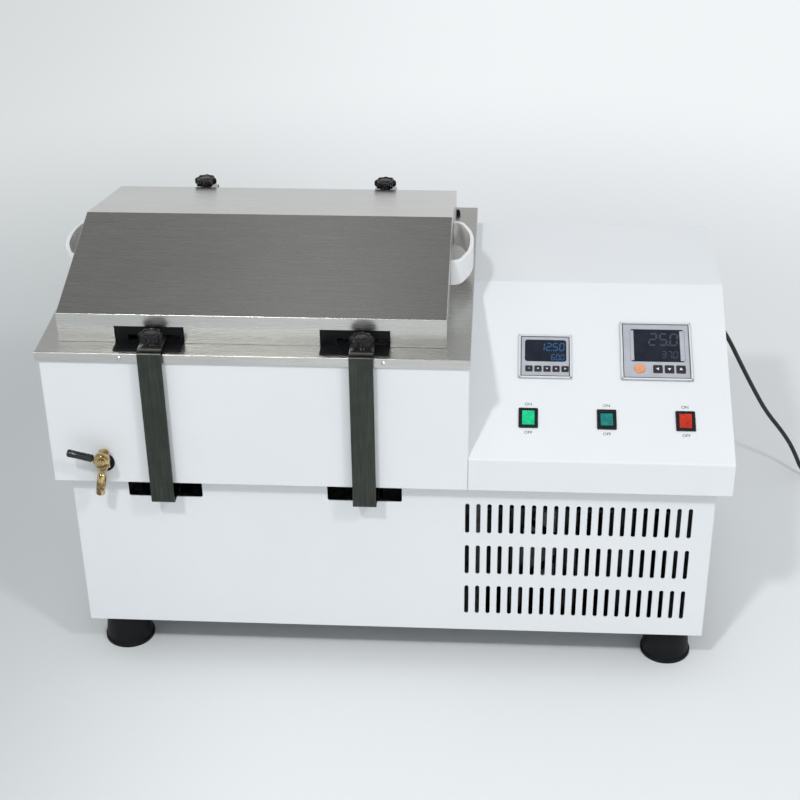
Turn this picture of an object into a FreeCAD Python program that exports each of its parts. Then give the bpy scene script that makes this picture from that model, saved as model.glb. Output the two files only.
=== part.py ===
import FreeCAD, Part
import math
import operator
import os
import Sketcher

# A shaking water bath: a heated and cooled tank under a lift-off gable lid, with a tray that four
# arms carry from a drive in the lower cabinet, and a sloping control panel beside it.
# Millimetres. +X to the right of someone at the controls, +Y to the back, +Z up.
# The origin is on the floor, under the middle of the upper casings.

SIZES = {
    # lower cabinet and its feet
    "cabinet_height": 246.0,
    "cabinet_overhang": 17.6,
    "panel_sheet": 1.5,
    "panel_bend": 3.0,
    "foot_height": 56.0,
    "foot_rim_radius": 35.0,
    "foot_rim_height": 5.0,
    "foot_base_radius": 33.0,
    "foot_top_radius": 29.0,
    "foot_inset_side": 45.0,
    "foot_inset_front": 40.0,
    "pan_sheet": 1.5,
    "pan_flange": 22.0,
    "shelf_sheet": 2.0,
    # upper casings
    "upper_width": 897.0,
    "upper_depth": 465.0,
    "casing_height": 195.3,
    "control_front": 47.5,
    "panel_angle": 25.2,
    "panel_length": 296.0,
    # stainless deck and tank
    "deck_sheet": 1.2,
    "deck_skirt": 12.4,
    "deck_overhang": 3.2,
    "deck_side_overhang": 1.5,
    "deck_edge_radius": 1.0,
    "tank_length": 450.0,
    "tank_end_gap": 51.0,
    "tank_side_gap": 72.5,
    "tank_depth": 164.0,
    "tank_corner": 25.0,
    "tank_sheet": 1.2,
    "tank_flange": 12.0,
    "foam_wall": 20.0,
    # lid
    "lid_end_lap": 25.0,
    "lid_setback": 27.8,
    "lid_skirt": 40.0,
    "lid_rise": 49.4,
    "lid_sheet": 1.2,
    "lid_margin": 25.5,
    "lid_gap": 0.3,
    "notch_width": 90.0,
    "notch_front_height": 23.6,
    "notch_rear_height": 35.5,
    "notch_shift_left": 5.5,
    "notch_shift_right": 10.0,
    "handle_length": 130.8,
    "handle_tall": 35.0,
    "handle_reach": 29.2,
    "handle_band": 5.2,
    "handle_foot": 6.0,
    "handle_lift": 19.6,
    # shaking arms and tray
    "arm_spacing": 269.0,
    "arm_shift": 8.9,
    "arm_width": 31.0,
    "arm_sheet": 2.0,
    "arm_clearance": 5.8,
    "arm_bend": 4.5,
    "arm_drop": 26.0,
    "arm_inward": 67.0,
    "arm_top_run": 38.0,
    "front_rise": 5.8,
    "rear_rise": 29.8,
    "slot_width": 100.0,
    "slot_tall": 30.0,
    "slot_below_top": 4.0,
    "slot_shift": 2.2,
    "stroke": 15.0,
    "hanger_setback": 9.0,
    "hanger_wall_gap": 8.0,
    "tray_end_gap": 25.0,
    "tray_side_gap": 24.0,
    "tray_rim": 26.0,
    "tray_below_deck": 119.0,
    "tray_sheet": 1.2,
    "tray_hole_radius": 10.0,
    "guard_sheet": 1.5,
    "guard_reach": 22.7,
    "guard_side_gap": 1.0,
    "guard_curtain_gap": 0.5,
    "guard_curtain_over": 3.0,
    "guard_window_gap": 3.0,
    # star knobs
    "knob_radius": 16.2,
    "knob_lobe_radius": 4.4,
    "knob_core_radius": 11.4,
    "knob_tall": 16.0,
    "knob_head": 10.0,
    "knob_edge": 1.0,
    "knob_hub_radius": 7.5,
    "knob_cap_radius": 9.5,
    "knob_cap_depth": 1.0,
    "knob_inset": 21.5,
    "stud_radius": 4.0,
    "running_fit": 0.05,
    "body_gap": 0.3,
    # shaking drive
    "rail_radius": 6.0,
    "rail_spread": 130.0,
    "rail_below_shelf": 54.0,
    "rail_over": 36.0,
    "bearing_length": 34.0,
    "bearing_size": 36.0,
    "bracket_sheet": 14.0,
    "crossbar_sheet": 6.0,
    "crossbar_end_gap": 9.0,
    "spine_width": 44.0,
    "crank_throw": 15.0,
    "crank_reach": 94.8,
    "crank_radius": 26.0,
    "crank_sheet": 6.0,
    "crank_pin_radius": 5.0,
    "rod_length": 100.0,
    "rod_eye_radius": 11.0,
    "rod_sheet": 8.0,
    "rod_web": 12.0,
    "rod_pin_radius": 5.0,
    "rod_pin_over": 2.0,
    "pivot_gap": 1.5,
    "motor_radius": 38.0,
    "gearbox_size": 90.0,
    "gearbox_tall": 38.0,
    "motor_shaft_radius": 6.0,
    "motor_floor_gap": 18.0,
    "bracket_leg_sheet": 3.0,
    # cooling unit in the right half of the cabinet
    "condenser_left_gap": 21.5,
    "condenser_right_gap": 55.9,
    "condenser_tall": 196.0,
    "condenser_deep": 36.0,
    "condenser_setback": 12.0,
    "fin_pitch": 12.5,
    "fin_sheet": 3.0,
    "header_sheet": 4.0,
    "shroud_depth": 24.0,
    "shroud_sheet": 2.0,
    "fan_radius": 76.0,
    "fan_hub_radius": 20.0,
    "fan_deep": 18.0,
    "fan_blade_sheet": 1.6,
    "fan_shaft_radius": 4.0,
    "fan_motor_radius": 24.0,
    "fan_motor_long": 40.0,
    "compressor_radius": 74.0,
    "compressor_tall": 172.0,
    "compressor_side_gap": 26.9,
    "compressor_back_gap": 58.9,
    # vents in the lower front panel
    "vent_length": 48.0,
    "vent_width": 5.8,
    "vent_start_lap": 0.9,
    "vent_end_gap": 31.7,
    "vent_top_below": 57.9,
    "vent_row_pitch": 67.9,
    "louvre_end_gap": 26.3,
    "louvre_width": 6.0,
    "louvre_pitch": 16.0,
    # heater, cooling coil and probe in the tank
    "heater_radius": 5.0,
    "coil_pipe_radius": 4.0,
    "element_above_floor": 16.0,
    "probe_above_floor": 34.0,
    "probe_radius": 3.0,
    "probe_length": 120.0,
    "flange_radius": 14.0,
    "flange_sheet": 5.0,
    # drain tap
    "tap_from_left": 70.6,
    "tap_above_cabinet": 31.0,
    "tap_lean": 10.0,
    "tap_seal_radius": 14.0,
    "tap_seal_sheet": 2.0,
    "tap_tail_radius": 8.0,
    "tap_tail_long": 30.0,
    "tap_hex_radius": 10.0,
    "tap_hex_long": 4.0,
    "tap_axis_out": 10.0,
    "tap_body_radius": 7.2,
    "tap_body_above": 24.5,
    "tap_body_below": 6.0,
    "tap_waist_radius": 4.2,
    "tap_spout_radius": 6.1,
    "tap_spout_long": 31.0,
    "tap_spout_below": 13.5,
    "tap_bore_radius": 3.6,
    "tap_bore_long": 25.0,
    "tap_pivot_above": 16.5,
    "tap_boss_radius": 7.0,
    "tap_boss_long": 8.0,
    "tap_pin_radius": 3.0,
    "tap_screw_radius": 5.0,
    "tap_screw_head": 2.6,
    "lever_rise": 4.0,
    "lever_hub_radius": 10.5,
    "lever_hub_long": 9.0,
    "lever_stem_radius": 2.5,
    "lever_radius": 5.2,
    "lever_long": 46.0,
    "lever_sleeve_start": 11.5,
    # control panel instruments, with the distance up the slope as "up"
    "meter_deep": 58.0,
    "cutout_gap": 0.3,
    "timer_size": 72.0,
    "timer_share": 0.3593,
    "timer_up": 130.2,
    "timer_tall": 3.0,
    "thermo_size": 96.0,
    "thermo_share": 0.3712,
    "thermo_up": 130.2,
    "thermo_tall": 3.5,
    "meter_lip": 2.0,
    "meter_rebate": 4.0,
    "meter_rebate_deep": 1.0,
    "window_sheet": 1.5,
    "window_sunk": 0.5,
    "timer_window_width": 56.0,
    "timer_window_tall": 36.5,
    "timer_window_left": 8.6,
    "timer_window_up": 27.6,
    "thermo_window_width": 73.5,
    "thermo_window_tall": 54.4,
    "thermo_window_left": 13.2,
    "thermo_window_up": 30.3,
    "window_corner": 4.0,
    "key_gap": 0.3,
    "key_travel": 0.6,
    "key_proud": 0.9,
    "key_deep": 3.6,
    "key_corner": 1.0,
    "timer_key_width": 9.3,
    "timer_key_tall": 9.4,
    "timer_key_left": 9.6,
    "timer_key_pitch": 12.1,
    "timer_key_up": 10.9,
    "thermo_key_width": 12.2,
    "thermo_key_tall": 12.7,
    "thermo_key_left": 43.1,
    "thermo_key_pitch": 15.4,
    "thermo_key_up": 11.9,
    "menu_key_radius": 7.2,
    "menu_key_x": 25.1,
    "menu_key_up": 18.6,
    "switch_width": 25.6,
    "switch_tall": 31.1,
    "switch_flange": 2.0,
    "switch_deep": 22.0,
    "switch_body_inset": 2.0,
    "switch_first_share": 0.2241,
    "switch_step_share": 0.2991,
    "switch_up": 66.5,
    "rocker_pivot_sunk": 1.0,
    "rocker_width": 16.4,
    "rocker_tall": 20.4,
    "rocker_proud": 1.4,
    "rocker_waist": 0.9,
    "rocker_deep": 8.0,
    "rocker_side_gap": 0.4,
    "rocker_end_gap": 1.0,
    "rocker_tilt": 9.0,
    # small fittings
    "screw_head_radius": 3.2,
    "screw_head_tall": 1.8,
    "skirt_screw_left": 110.0,
    "skirt_screw_right": 447.6,
    "sensor_gland_radius": 4.0,
    "sensor_gland_tall": 7.5,
    "sensor_gland_right": 29.5,
    "sensor_gland_back": 26.7,
    # mains cord
    "cord_radius": 3.5,
    "cord_exit_side": 50.5,
    "cord_exit_up": 60.0,
    "gland_nut_radius": 11.0,
    "gland_nut_long": 9.0,
    "gland_relief_radius": 7.0,
    "gland_relief_long": 24.0,
    "coil_out": 279.5,
    "coil_forward": 10.5,
    "coil_mean_radius": 38.5,
    "coil_layers": 3.0,
    "plug_tail": 22.0,
    "plug_long": 52.0,
    "plug_width": 35.0,
    "plug_thick": 24.0,
    "plug_pin_radius": 2.4,
    "plug_pin_long": 19.0,
    "plug_pin_pitch": 19.0,
}

VENT_COLUMNS = 21
VENT_ROWS = 3
LOUVRE_ROWS = 9
LOUVRE_COLUMNS = 3
TRAY_COLUMNS = 9
TRAY_ROWS = 5
KNOB_LOBES = 8
FAN_BLADES = 5
TIMER_KEYS = 5
THERMO_KEYS = 3
ROCKERS_PRESSED = (1, -1, 1)
OPERATIONS = {"+": operator.add, "-": operator.sub, "*": operator.mul, "/": operator.truediv}

# The cord's route from its gland to the coil, from the upper rear right corner of the casings and
# the floor: it leaves straight back, droops and slants down to the floor at the right.
CORD_ROUTE = [
    (-50.5, 33.0, 362.0),
    (-50.5, 75.5, 361.0),
    (-26.5, 97.5, 345.0),
    (13.5, 93.5, 306.0),
    (55.5, 80.5, 252.0),
    (85.5, 75.5, 195.0),
    (110.0, 73.5, 150.0),
    (133.5, 72.5, 110.0),
    (162.5, 70.5, 75.0),
    (182.5, 64.0, 46.0),
    (201.5, 50.5, 3.5),
    (245.5, 37.0, 3.5),
    (271.3, 31.7, 3.5),
]

doc = FreeCAD.newDocument("shaking_water_bath")
pieces = {}


class Size:
    """A number and the formula over the sheet's cells that gives it."""

    def __init__(self, number, formula):
        self.number = float(number)
        self.formula = formula

    def __neg__(self):
        return combine(0, "-", self)

    def __add__(self, other):
        return combine(self, "+", other)

    def __radd__(self, other):
        return combine(other, "+", self)

    def __sub__(self, other):
        return combine(self, "-", other)

    def __rsub__(self, other):
        return combine(other, "-", self)

    def __mul__(self, other):
        return combine(self, "*", other)

    def __rmul__(self, other):
        return combine(other, "*", self)

    def __truediv__(self, other):
        return combine(self, "/", other)

    def __float__(self):
        return self.number


def as_size(value):
    return value if isinstance(value, Size) else Size(value, f"({float(value)})")


def combine(left, sign, right):
    left, right = as_size(left), as_size(right)
    number = OPERATIONS[sign](left.number, right.number)
    return Size(number, f"({left.formula} {sign} {right.formula})")


def sine(angle):
    return Size(math.sin(math.radians(angle.number)), f"sin({angle.formula})")


def cosine(angle):
    return Size(math.cos(math.radians(angle.number)), f"cos({angle.formula})")


def root(value):
    return Size(math.sqrt(value.number), f"sqrt({value.formula})")


def read_sizes():
    """Write the driving dimensions into the sheet and return them by name."""
    sheet = doc.addObject("Spreadsheet::Sheet", "Sizes")
    named = {}
    for row, (name, number) in enumerate(SIZES.items(), start=1):
        sheet.set(f"A{row}", name)
        sheet.set(f"B{row}", str(number))
        sheet.setAlias(f"B{row}", name)
        named[name] = Size(number, f"Sizes.{name}")
    doc.recompute()
    return type("Sheet", (), named)


s = read_sizes()


def bind(item, path, value):
    """Tie a property to a formula, or set it where it is a plain number."""
    item.setExpression(path, as_size(value).formula)


def place(item, x=0, y=0, z=0):
    for letter, value in zip("xyz", (x, y, z)):
        bind(item, f"Placement.Base.{letter}", value)
    return item


def tilt(item, axis, angle):
    """Turn an item about an axis through its own origin by a bound angle."""
    item.Placement = FreeCAD.Placement(item.Placement.Base, FreeCAD.Rotation(axis, as_size(angle).number))
    bind(item, "Placement.Rotation.Angle", angle)
    return item


def piece(label, item):
    """Name a finished sub-part: its label is the name of its file."""
    item.Label = label
    pieces[label] = item
    return item


def new_body(name):
    body = doc.addObject("PartDesign::Body", name)
    body.AllowCompound = True
    return body


def origin_feature(body, role):
    return next(feature for feature in body.Origin.OriginFeatures if feature.Role == role)


def sketch_on(body, plane, start):
    sketch = body.newObject("Sketcher::SketchObject", body.Name + "_sketch")
    sketch.AttachmentSupport = [(origin_feature(body, plane + "_Plane"), "")]
    sketch.MapMode = "FlatFace"
    bind(sketch, "AttachmentOffset.Base.z", -as_size(start) if plane == "XZ" else start)
    return sketch


def fix_point(sketch, geometry, position, u, v):
    for kind, value in (("DistanceX", u), ("DistanceY", v)):
        number = as_size(value).number
        index = sketch.addConstraint(Sketcher.Constraint(kind, -1, 1, geometry, position, number))
        sketch.setExpression(f"Constraints[{index}]", as_size(value).formula)


def fix_radius(sketch, geometry, radius):
    index = sketch.addConstraint(Sketcher.Constraint("Radius", geometry, as_size(radius).number))
    sketch.setExpression(f"Constraints[{index}]", as_size(radius).formula)


def flat(corner):
    return FreeCAD.Vector(as_size(corner[0]).number, as_size(corner[1]).number, 0)


def trims(before, corner, after, radius):
    """Where a round of the radius meets the two lines at a corner, and its centre."""
    back = (before - corner).normalize()
    ahead = (after - corner).normalize()
    half = back.getAngle(ahead) / 2
    middle = (back + ahead).normalize()
    return (corner + back * (radius / math.tan(half)), corner + ahead * (radius / math.tan(half)),
            corner + middle * (radius / math.sin(half)))


def outline(sketch, corners):
    """Draw a closed outline of (u, v) corners, or (u, v, radius) where a corner is rounded."""
    count = len(corners)
    points = [flat(corner) for corner in corners]
    starts, ends, centres = [], [], []
    for i, corner in enumerate(corners):
        before, after = points[i - 1], points[(i + 1) % count]
        if len(corner) == 3:
            meet_in, meet_out, centre = trims(before, points[i], after, as_size(corner[2]).number)
        else:
            meet_in, meet_out, centre = points[i], points[i], None
        ends.append(meet_in)
        starts.append(meet_out)
        centres.append(centre)
    lines = [sketch.addGeometry(Part.LineSegment(starts[i], ends[(i + 1) % count])) for i in range(count)]
    for i, corner in enumerate(corners):
        if len(corner) == 3:
            round_corner(sketch, corner, points[i], (ends[i], starts[i], centres[i]), lines[i - 1], lines[i])
        else:
            sketch.addConstraint(Sketcher.Constraint("Coincident", lines[i - 1], 2, lines[i], 1))
            fix_point(sketch, lines[i], 1, corner[0], corner[1])


def round_corner(sketch, corner, point, meets, line_in, line_out):
    meet_in, meet_out, centre = meets
    turns_left = (point - meet_in).cross(meet_out - point).z > 0
    first, last = (meet_in, meet_out) if turns_left else (meet_out, meet_in)
    angle_first = math.atan2(first.y - centre.y, first.x - centre.x)
    angle_last = math.atan2(last.y - centre.y, last.x - centre.x)
    circle = Part.Circle(centre, FreeCAD.Vector(0, 0, 1), (first - centre).Length)
    arc = sketch.addGeometry(Part.ArcOfCircle(circle, angle_first, angle_last))
    mark = sketch.addGeometry(Part.Point(point), True)
    sketch.addConstraint(Sketcher.Constraint("Tangent", line_in, 2, arc, 1 if turns_left else 2))
    sketch.addConstraint(Sketcher.Constraint("Tangent", line_out, 1, arc, 2 if turns_left else 1))
    sketch.addConstraint(Sketcher.Constraint("PointOnObject", mark, 1, line_in))
    sketch.addConstraint(Sketcher.Constraint("PointOnObject", mark, 1, line_out))
    fix_point(sketch, mark, 1, corner[0], corner[1])
    fix_radius(sketch, arc, corner[2])


def ring(sketch, u, v, radius):
    centre = FreeCAD.Vector(as_size(u).number, as_size(v).number, 0)
    circle = Part.Circle(centre, FreeCAD.Vector(0, 0, 1), as_size(radius).number)
    geometry = sketch.addGeometry(circle)
    fix_point(sketch, geometry, 3, u, v)
    fix_radius(sketch, geometry, radius)


def rectangle(left, low, right, high, radius=None):
    corners = [(left, low), (right, low), (right, high), (left, high)]
    return [corner + (radius,) for corner in corners] if radius else corners


def middle_rectangle(u, v, width, tall, radius=None):
    return rectangle(u - width / 2, v - tall / 2, u + width / 2, v + tall / 2, radius)


def pad(body, plane, corners, start, length):
    """Add material over an outline, from start towards the plane's own positive axis."""
    sketch = sketch_on(body, plane, start)
    outline(sketch, corners)
    return pad_sketch(body, plane, sketch, length)


def pad_ring(body, plane, u, v, radius, start, length):
    sketch = sketch_on(body, plane, start)
    ring(sketch, u, v, radius)
    return pad_sketch(body, plane, sketch, length)


def pad_sketch(body, plane, sketch, length):
    feature = body.newObject("PartDesign::Pad", body.Name + "_pad")
    feature.Profile = sketch
    feature.Reversed = plane == "XZ"
    bind(feature, "Length", length)
    body.Tip = feature
    return feature


def pocket(body, plane, corners, start, length):
    """Take material away over an outline, from start towards the plane's own positive axis."""
    sketch = sketch_on(body, plane, start)
    outline(sketch, corners)
    return pocket_sketch(body, plane, sketch, length)


def pocket_ring(body, plane, u, v, radius, start, length):
    sketch = sketch_on(body, plane, start)
    ring(sketch, u, v, radius)
    return pocket_sketch(body, plane, sketch, length)


def pocket_sketch(body, plane, sketch, length):
    feature = body.newObject("PartDesign::Pocket", body.Name + "_pocket")
    feature.Profile = sketch
    feature.Reversed = plane != "XZ"
    bind(feature, "Length", length)
    body.Tip = feature
    return feature


def revolve(body, plane, corners, axis):
    sketch = sketch_on(body, plane, 0)
    outline(sketch, corners)
    feature = body.newObject("PartDesign::Revolution", body.Name + "_turning")
    feature.Profile = sketch
    feature.ReferenceAxis = (origin_feature(body, axis + "_Axis"), [""])
    feature.Angle = 360
    body.Tip = feature
    return feature


def repeat(body, feature, axis, step, count, axis2=None, step2=0, count2=1):
    """Repeat a feature in a row, or in rows and columns."""
    pattern = body.newObject("PartDesign::LinearPattern", body.Name + "_row")
    pattern.Originals = [feature]
    pattern.Direction = (origin_feature(body, axis + "_Axis"), [""])
    bind(pattern, "Length", step * (count - 1))
    pattern.Occurrences = count
    if axis2:
        pattern.Direction2 = (origin_feature(body, axis2 + "_Axis"), [""])
        bind(pattern, "Length2", step2 * (count2 - 1))
        pattern.Occurrences2 = count2
    body.Tip = pattern
    return pattern


def repeat_round(body, feature, axis, count):
    pattern = body.newObject("PartDesign::PolarPattern", body.Name + "_round")
    pattern.Originals = [feature]
    pattern.Axis = (origin_feature(body, axis + "_Axis"), [""])
    pattern.Angle = 360
    pattern.Occurrences = count
    body.Tip = pattern
    return pattern


def round_edges(body, radius, chosen):
    """Round the edges of the finished shape that a test picks."""
    doc.recompute()
    base = body.Tip
    names = [f"Edge{i}" for i, edge in enumerate(base.Shape.Edges, start=1) if chosen(edge)]
    feature = body.newObject("PartDesign::Fillet", body.Name + "_round")
    feature.Base = (base, names)
    bind(feature, "Radius", radius)
    body.Tip = feature
    return feature


def box(name, low, extent):
    item = doc.addObject("Part::Box", name)
    for path, value in zip(("Length", "Width", "Height"), extent):
        bind(item, path, value)
    return place(item, *low)


def cylinder(name, base, radius, length, axis="Z"):
    """A round bar from its base point along a row axis."""
    item = doc.addObject("Part::Cylinder", name)
    bind(item, "Radius", radius)
    bind(item, "Height", length)
    turns = {"X": (FreeCAD.Vector(0, 1, 0), 90), "Y": (FreeCAD.Vector(1, 0, 0), -90)}
    if axis in turns:
        item.Placement = FreeCAD.Placement(FreeCAD.Vector(), FreeCAD.Rotation(*turns[axis]))
    return place(item, *base)


def cone(name, base, radius, end_radius, length, axis="Z"):
    item = doc.addObject("Part::Cone", name)
    bind(item, "Radius1", radius)
    bind(item, "Radius2", end_radius)
    bind(item, "Height", length)
    if axis == "Y":
        item.Placement = FreeCAD.Placement(FreeCAD.Vector(), FreeCAD.Rotation(FreeCAD.Vector(1, 0, 0), -90))
    return place(item, *base)


def joined(name, items):
    item = doc.addObject("Part::MultiFuse", name)
    item.Shapes = items
    item.Refine = True
    return item


def grouped(name, items):
    """Identical loose pieces that share one node."""
    item = doc.addObject("Part::Compound", name)
    item.Links = items
    return item


def without(name, base, tools):
    item = doc.addObject("Part::Cut", name)
    item.Base = base
    item.Tool = tools[0] if len(tools) == 1 else joined(name + "_tools", tools)
    item.Refine = True
    return item


# Levels and faces that several pieces share.
cabinet_left = s.cabinet_overhang - s.upper_width / 2
cabinet_right = -cabinet_left
cabinet_front = s.cabinet_overhang - s.upper_depth / 2
cabinet_back = -cabinet_front
cabinet_top = s.foot_height + s.cabinet_height
pan_top = s.foot_height + s.pan_sheet
shelf_top = cabinet_top + s.shelf_sheet
upper_left = -s.upper_width / 2
upper_right = s.upper_width / 2
upper_front = -s.upper_depth / 2
upper_back = s.upper_depth / 2
casing_right = upper_left + s.tank_length + 2 * s.tank_end_gap
casing_top = cabinet_top + s.casing_height
control_width = upper_right - casing_right
tank_breadth = s.upper_depth - 2 * s.tank_side_gap
deck_top = casing_top + s.deck_sheet
deck_left = upper_left - s.deck_overhang
deck_right = casing_right + s.deck_side_overhang
deck_front = upper_front - s.deck_overhang
lid_left = deck_left + s.lid_margin
lid_right = lid_left + s.tank_length + 2 * s.lid_end_lap
lid_middle = (lid_left + lid_right) / 2
lid_base = deck_top + s.lid_gap
lid_eave = lid_base + s.lid_skirt
lid_front = upper_front + s.lid_setback
tank_floor = casing_top - s.tank_depth
tray_floor = deck_top - s.tray_below_deck
arm_face = deck_front - s.arm_clearance - s.arm_sheet
arm_foot = cabinet_top - s.arm_drop
arm_middle = lid_middle + s.arm_shift
arm_places = {"left": arm_middle - s.arm_spacing / 2, "right": arm_middle + s.arm_spacing / 2}
arm_tops = {"front": deck_top + s.front_rise, "rear": deck_top + s.rear_rise}
side_signs = {"front": -1, "rear": 1}
slope_low = cabinet_top + s.control_front
rail_level = cabinet_top - s.rail_below_shelf
crossbar_base = arm_foot - s.crossbar_sheet
rod_eye_base = crossbar_base - s.crossbar_sheet - 2 * s.rod_sheet
crank_pin_top = rod_eye_base - s.pivot_gap
crank_base = crank_pin_top - 2 * s.crank_sheet
crank_x = arm_places["right"] + s.crank_reach
rod_pin_x = crank_x - root(s.rod_length * s.rod_length - s.crank_throw * s.crank_throw)
vent_start = casing_right - s.vent_start_lap
condenser_left = casing_right + s.condenser_left_gap
condenser_width = cabinet_right - s.condenser_right_gap - condenser_left
fan_x = condenser_left + condenser_width / 2
tap_x = upper_left + s.tap_from_left
tap_level = cabinet_top + s.tap_above_cabinet
control_free = control_width - s.timer_size - s.thermo_size
timer_left = control_free * s.timer_share
thermo_left = timer_left + s.timer_size + control_free * s.thermo_share
cord_exit_x = upper_right - s.cord_exit_side
cord_exit_z = cabinet_top + s.cord_exit_up


def make_feet():
    body = new_body("feet")
    profile = [(0, 0), (s.foot_rim_radius, 0), (s.foot_rim_radius, s.foot_rim_height),
               (s.foot_base_radius, s.foot_rim_height), (s.foot_top_radius, s.foot_height), (0, s.foot_height)]
    foot = revolve(body, "XZ", profile, "Z")
    across = cabinet_right - cabinet_left - 2 * s.foot_inset_side
    deep = cabinet_back - cabinet_front - 2 * s.foot_inset_front
    repeat(body, foot, "X", across, 2, "Y", deep, 2)
    piece("feet", place(body, cabinet_left + s.foot_inset_side, cabinet_front + s.foot_inset_front, 0))


def make_base_pan():
    """A folded steel tray that the feet and the heavy units bolt to."""
    body = new_body("base_pan")
    left, front = cabinet_left + s.panel_sheet, cabinet_front + s.panel_sheet
    corner = s.panel_bend - s.panel_sheet
    pad(body, "XY", rectangle(left, front, -left, -front, corner), s.foot_height, s.pan_flange)
    inner_left, inner_front = left + s.pan_sheet, front + s.pan_sheet
    pocket(body, "XY", rectangle(inner_left, inner_front, -inner_left, -inner_front), pan_top, s.pan_flange)
    piece("base_pan", place(body))


def make_cabinet_shell():
    """Front and side panels folded from one sheet, with the vents and the arms' slots in front."""
    body = new_body("cabinet_shell")
    sheet, bend = s.panel_sheet, s.panel_bend
    back = cabinet_back - sheet
    profile = [(cabinet_left, back), (cabinet_left, cabinet_front, bend), (cabinet_right, cabinet_front, bend),
               (cabinet_right, back), (cabinet_right - sheet, back),
               (cabinet_right - sheet, cabinet_front + sheet, bend - sheet),
               (cabinet_left + sheet, cabinet_front + sheet, bend - sheet), (cabinet_left + sheet, back)]
    pad(body, "XY", profile, s.foot_height, s.cabinet_height)
    slot_top = cabinet_top - s.slot_below_top
    slot_left = arm_places["left"] - s.slot_shift - s.slot_width / 2
    slot_outline = rectangle(slot_left, slot_top - s.slot_tall, slot_left + s.slot_width, slot_top, s.panel_bend)
    slot = pocket(body, "XZ", slot_outline, cabinet_front - sheet, 3 * sheet)
    repeat(body, slot, "X", s.arm_spacing, 2)
    vent_middle = cabinet_top - s.vent_top_below - (VENT_ROWS - 1) * s.vent_row_pitch
    round_end = s.vent_width / 2 - 0.01
    vent_outline = middle_rectangle(vent_start, vent_middle, s.vent_width, s.vent_length, round_end)
    vent = pocket(body, "XZ", vent_outline, cabinet_front - sheet, 3 * sheet)
    vent_step = (cabinet_right - s.vent_end_gap - vent_start) / (VENT_COLUMNS - 1)
    repeat(body, vent, "X", vent_step, VENT_COLUMNS, "Z", s.vent_row_pitch, VENT_ROWS)
    piece("cabinet_shell", place(body))


def make_rear_panel():
    """A flat rear panel with louvre slots for the warm air and two slots for the rear arms."""
    body = new_body("rear_panel")
    outline_ = rectangle(cabinet_left, s.foot_height, cabinet_right, cabinet_top)
    pad(body, "XZ", outline_, cabinet_back - s.panel_sheet, s.panel_sheet)
    slot_top = cabinet_top - s.slot_below_top
    slot_left = arm_places["left"] - s.slot_shift - s.slot_width / 2
    slot_outline = rectangle(slot_left, slot_top - s.slot_tall, slot_left + s.slot_width, slot_top, s.panel_bend)
    slot = pocket(body, "XZ", slot_outline, cabinet_back - 2 * s.panel_sheet, 3 * s.panel_sheet)
    repeat(body, slot, "X", s.arm_spacing, 2)
    louvre_step = (cabinet_right - s.louvre_end_gap - vent_start + s.louvre_pitch) / LOUVRE_COLUMNS
    louvre_low = pan_top + s.pan_flange + s.louvre_width
    louvre_outline = rectangle(vent_start, louvre_low, vent_start + louvre_step - s.louvre_pitch,
                               louvre_low + s.louvre_width, s.louvre_width / 2 - 0.01)
    louvre = pocket(body, "XZ", louvre_outline, cabinet_back - 2 * s.panel_sheet, 3 * s.panel_sheet)
    repeat(body, louvre, "X", louvre_step, LOUVRE_COLUMNS, "Z", s.louvre_pitch, LOUVRE_ROWS)
    piece("rear_panel", place(body))


def make_shelf():
    """The plate between the cabinet and the upper casings."""
    body = new_body("shelf")
    left, front = upper_left + s.panel_sheet, upper_front + s.panel_sheet
    corner = s.panel_bend - s.panel_sheet
    pad(body, "XY", rectangle(left, front, -left, -front, corner), cabinet_top, s.shelf_sheet)
    piece("shelf", place(body))


def make_bath_casing():
    """Four white walls round the tank."""
    body = new_body("bath_casing")
    sheet, bend = s.panel_sheet, s.panel_bend
    outer = rectangle(upper_left, upper_front, casing_right, upper_back, bend)
    inner = rectangle(upper_left + sheet, upper_front + sheet, casing_right - sheet, upper_back - sheet,
                      bend - sheet)
    pad(body, "XY", outer, cabinet_top, s.casing_height)
    pocket(body, "XY", inner, cabinet_top, s.casing_height)
    clear_shelf(body, casing_right - sheet)
    pocket_ring(body, "XZ", tap_x, tap_level, s.tap_tail_radius, upper_front - sheet, 3 * sheet)
    piece("bath_casing", place(body))


def clear_shelf(body, wall_left):
    """Shorten an inner side wall so that it stands on the shelf."""
    front = upper_front + s.panel_sheet
    sheet = s.panel_sheet
    pocket(body, "XY", rectangle(wall_left - sheet, front, wall_left + 2 * sheet, -front), cabinet_top,
           s.shelf_sheet)


def panel_cutout(name, left, up, width, tall):
    """A block that cuts one opening square through the sloping panel."""
    deep = s.meter_deep
    block = doc.addObject("Part::Box", name)
    for path, value in zip(("Length", "Width", "Height"), (width, tall, deep)):
        bind(block, path, value)
    return on_slope(block, left, up, -deep / 2)


def on_slope(item, across, up, proud):
    """Put an item on the sloping panel: across from the housing's left, up the slope, and proud."""
    angle = s.panel_angle
    tilt(item, FreeCAD.Vector(1, 0, 0), angle)
    return place(item, casing_right + across, upper_front + up * cosine(angle) - proud * sine(angle),
                 slope_low + up * sine(angle) + proud * cosine(angle))


def switch_across(i):
    """The middle of a switch, across from the housing's left."""
    return control_width * (s.switch_first_share + i * s.switch_step_share)


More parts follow.
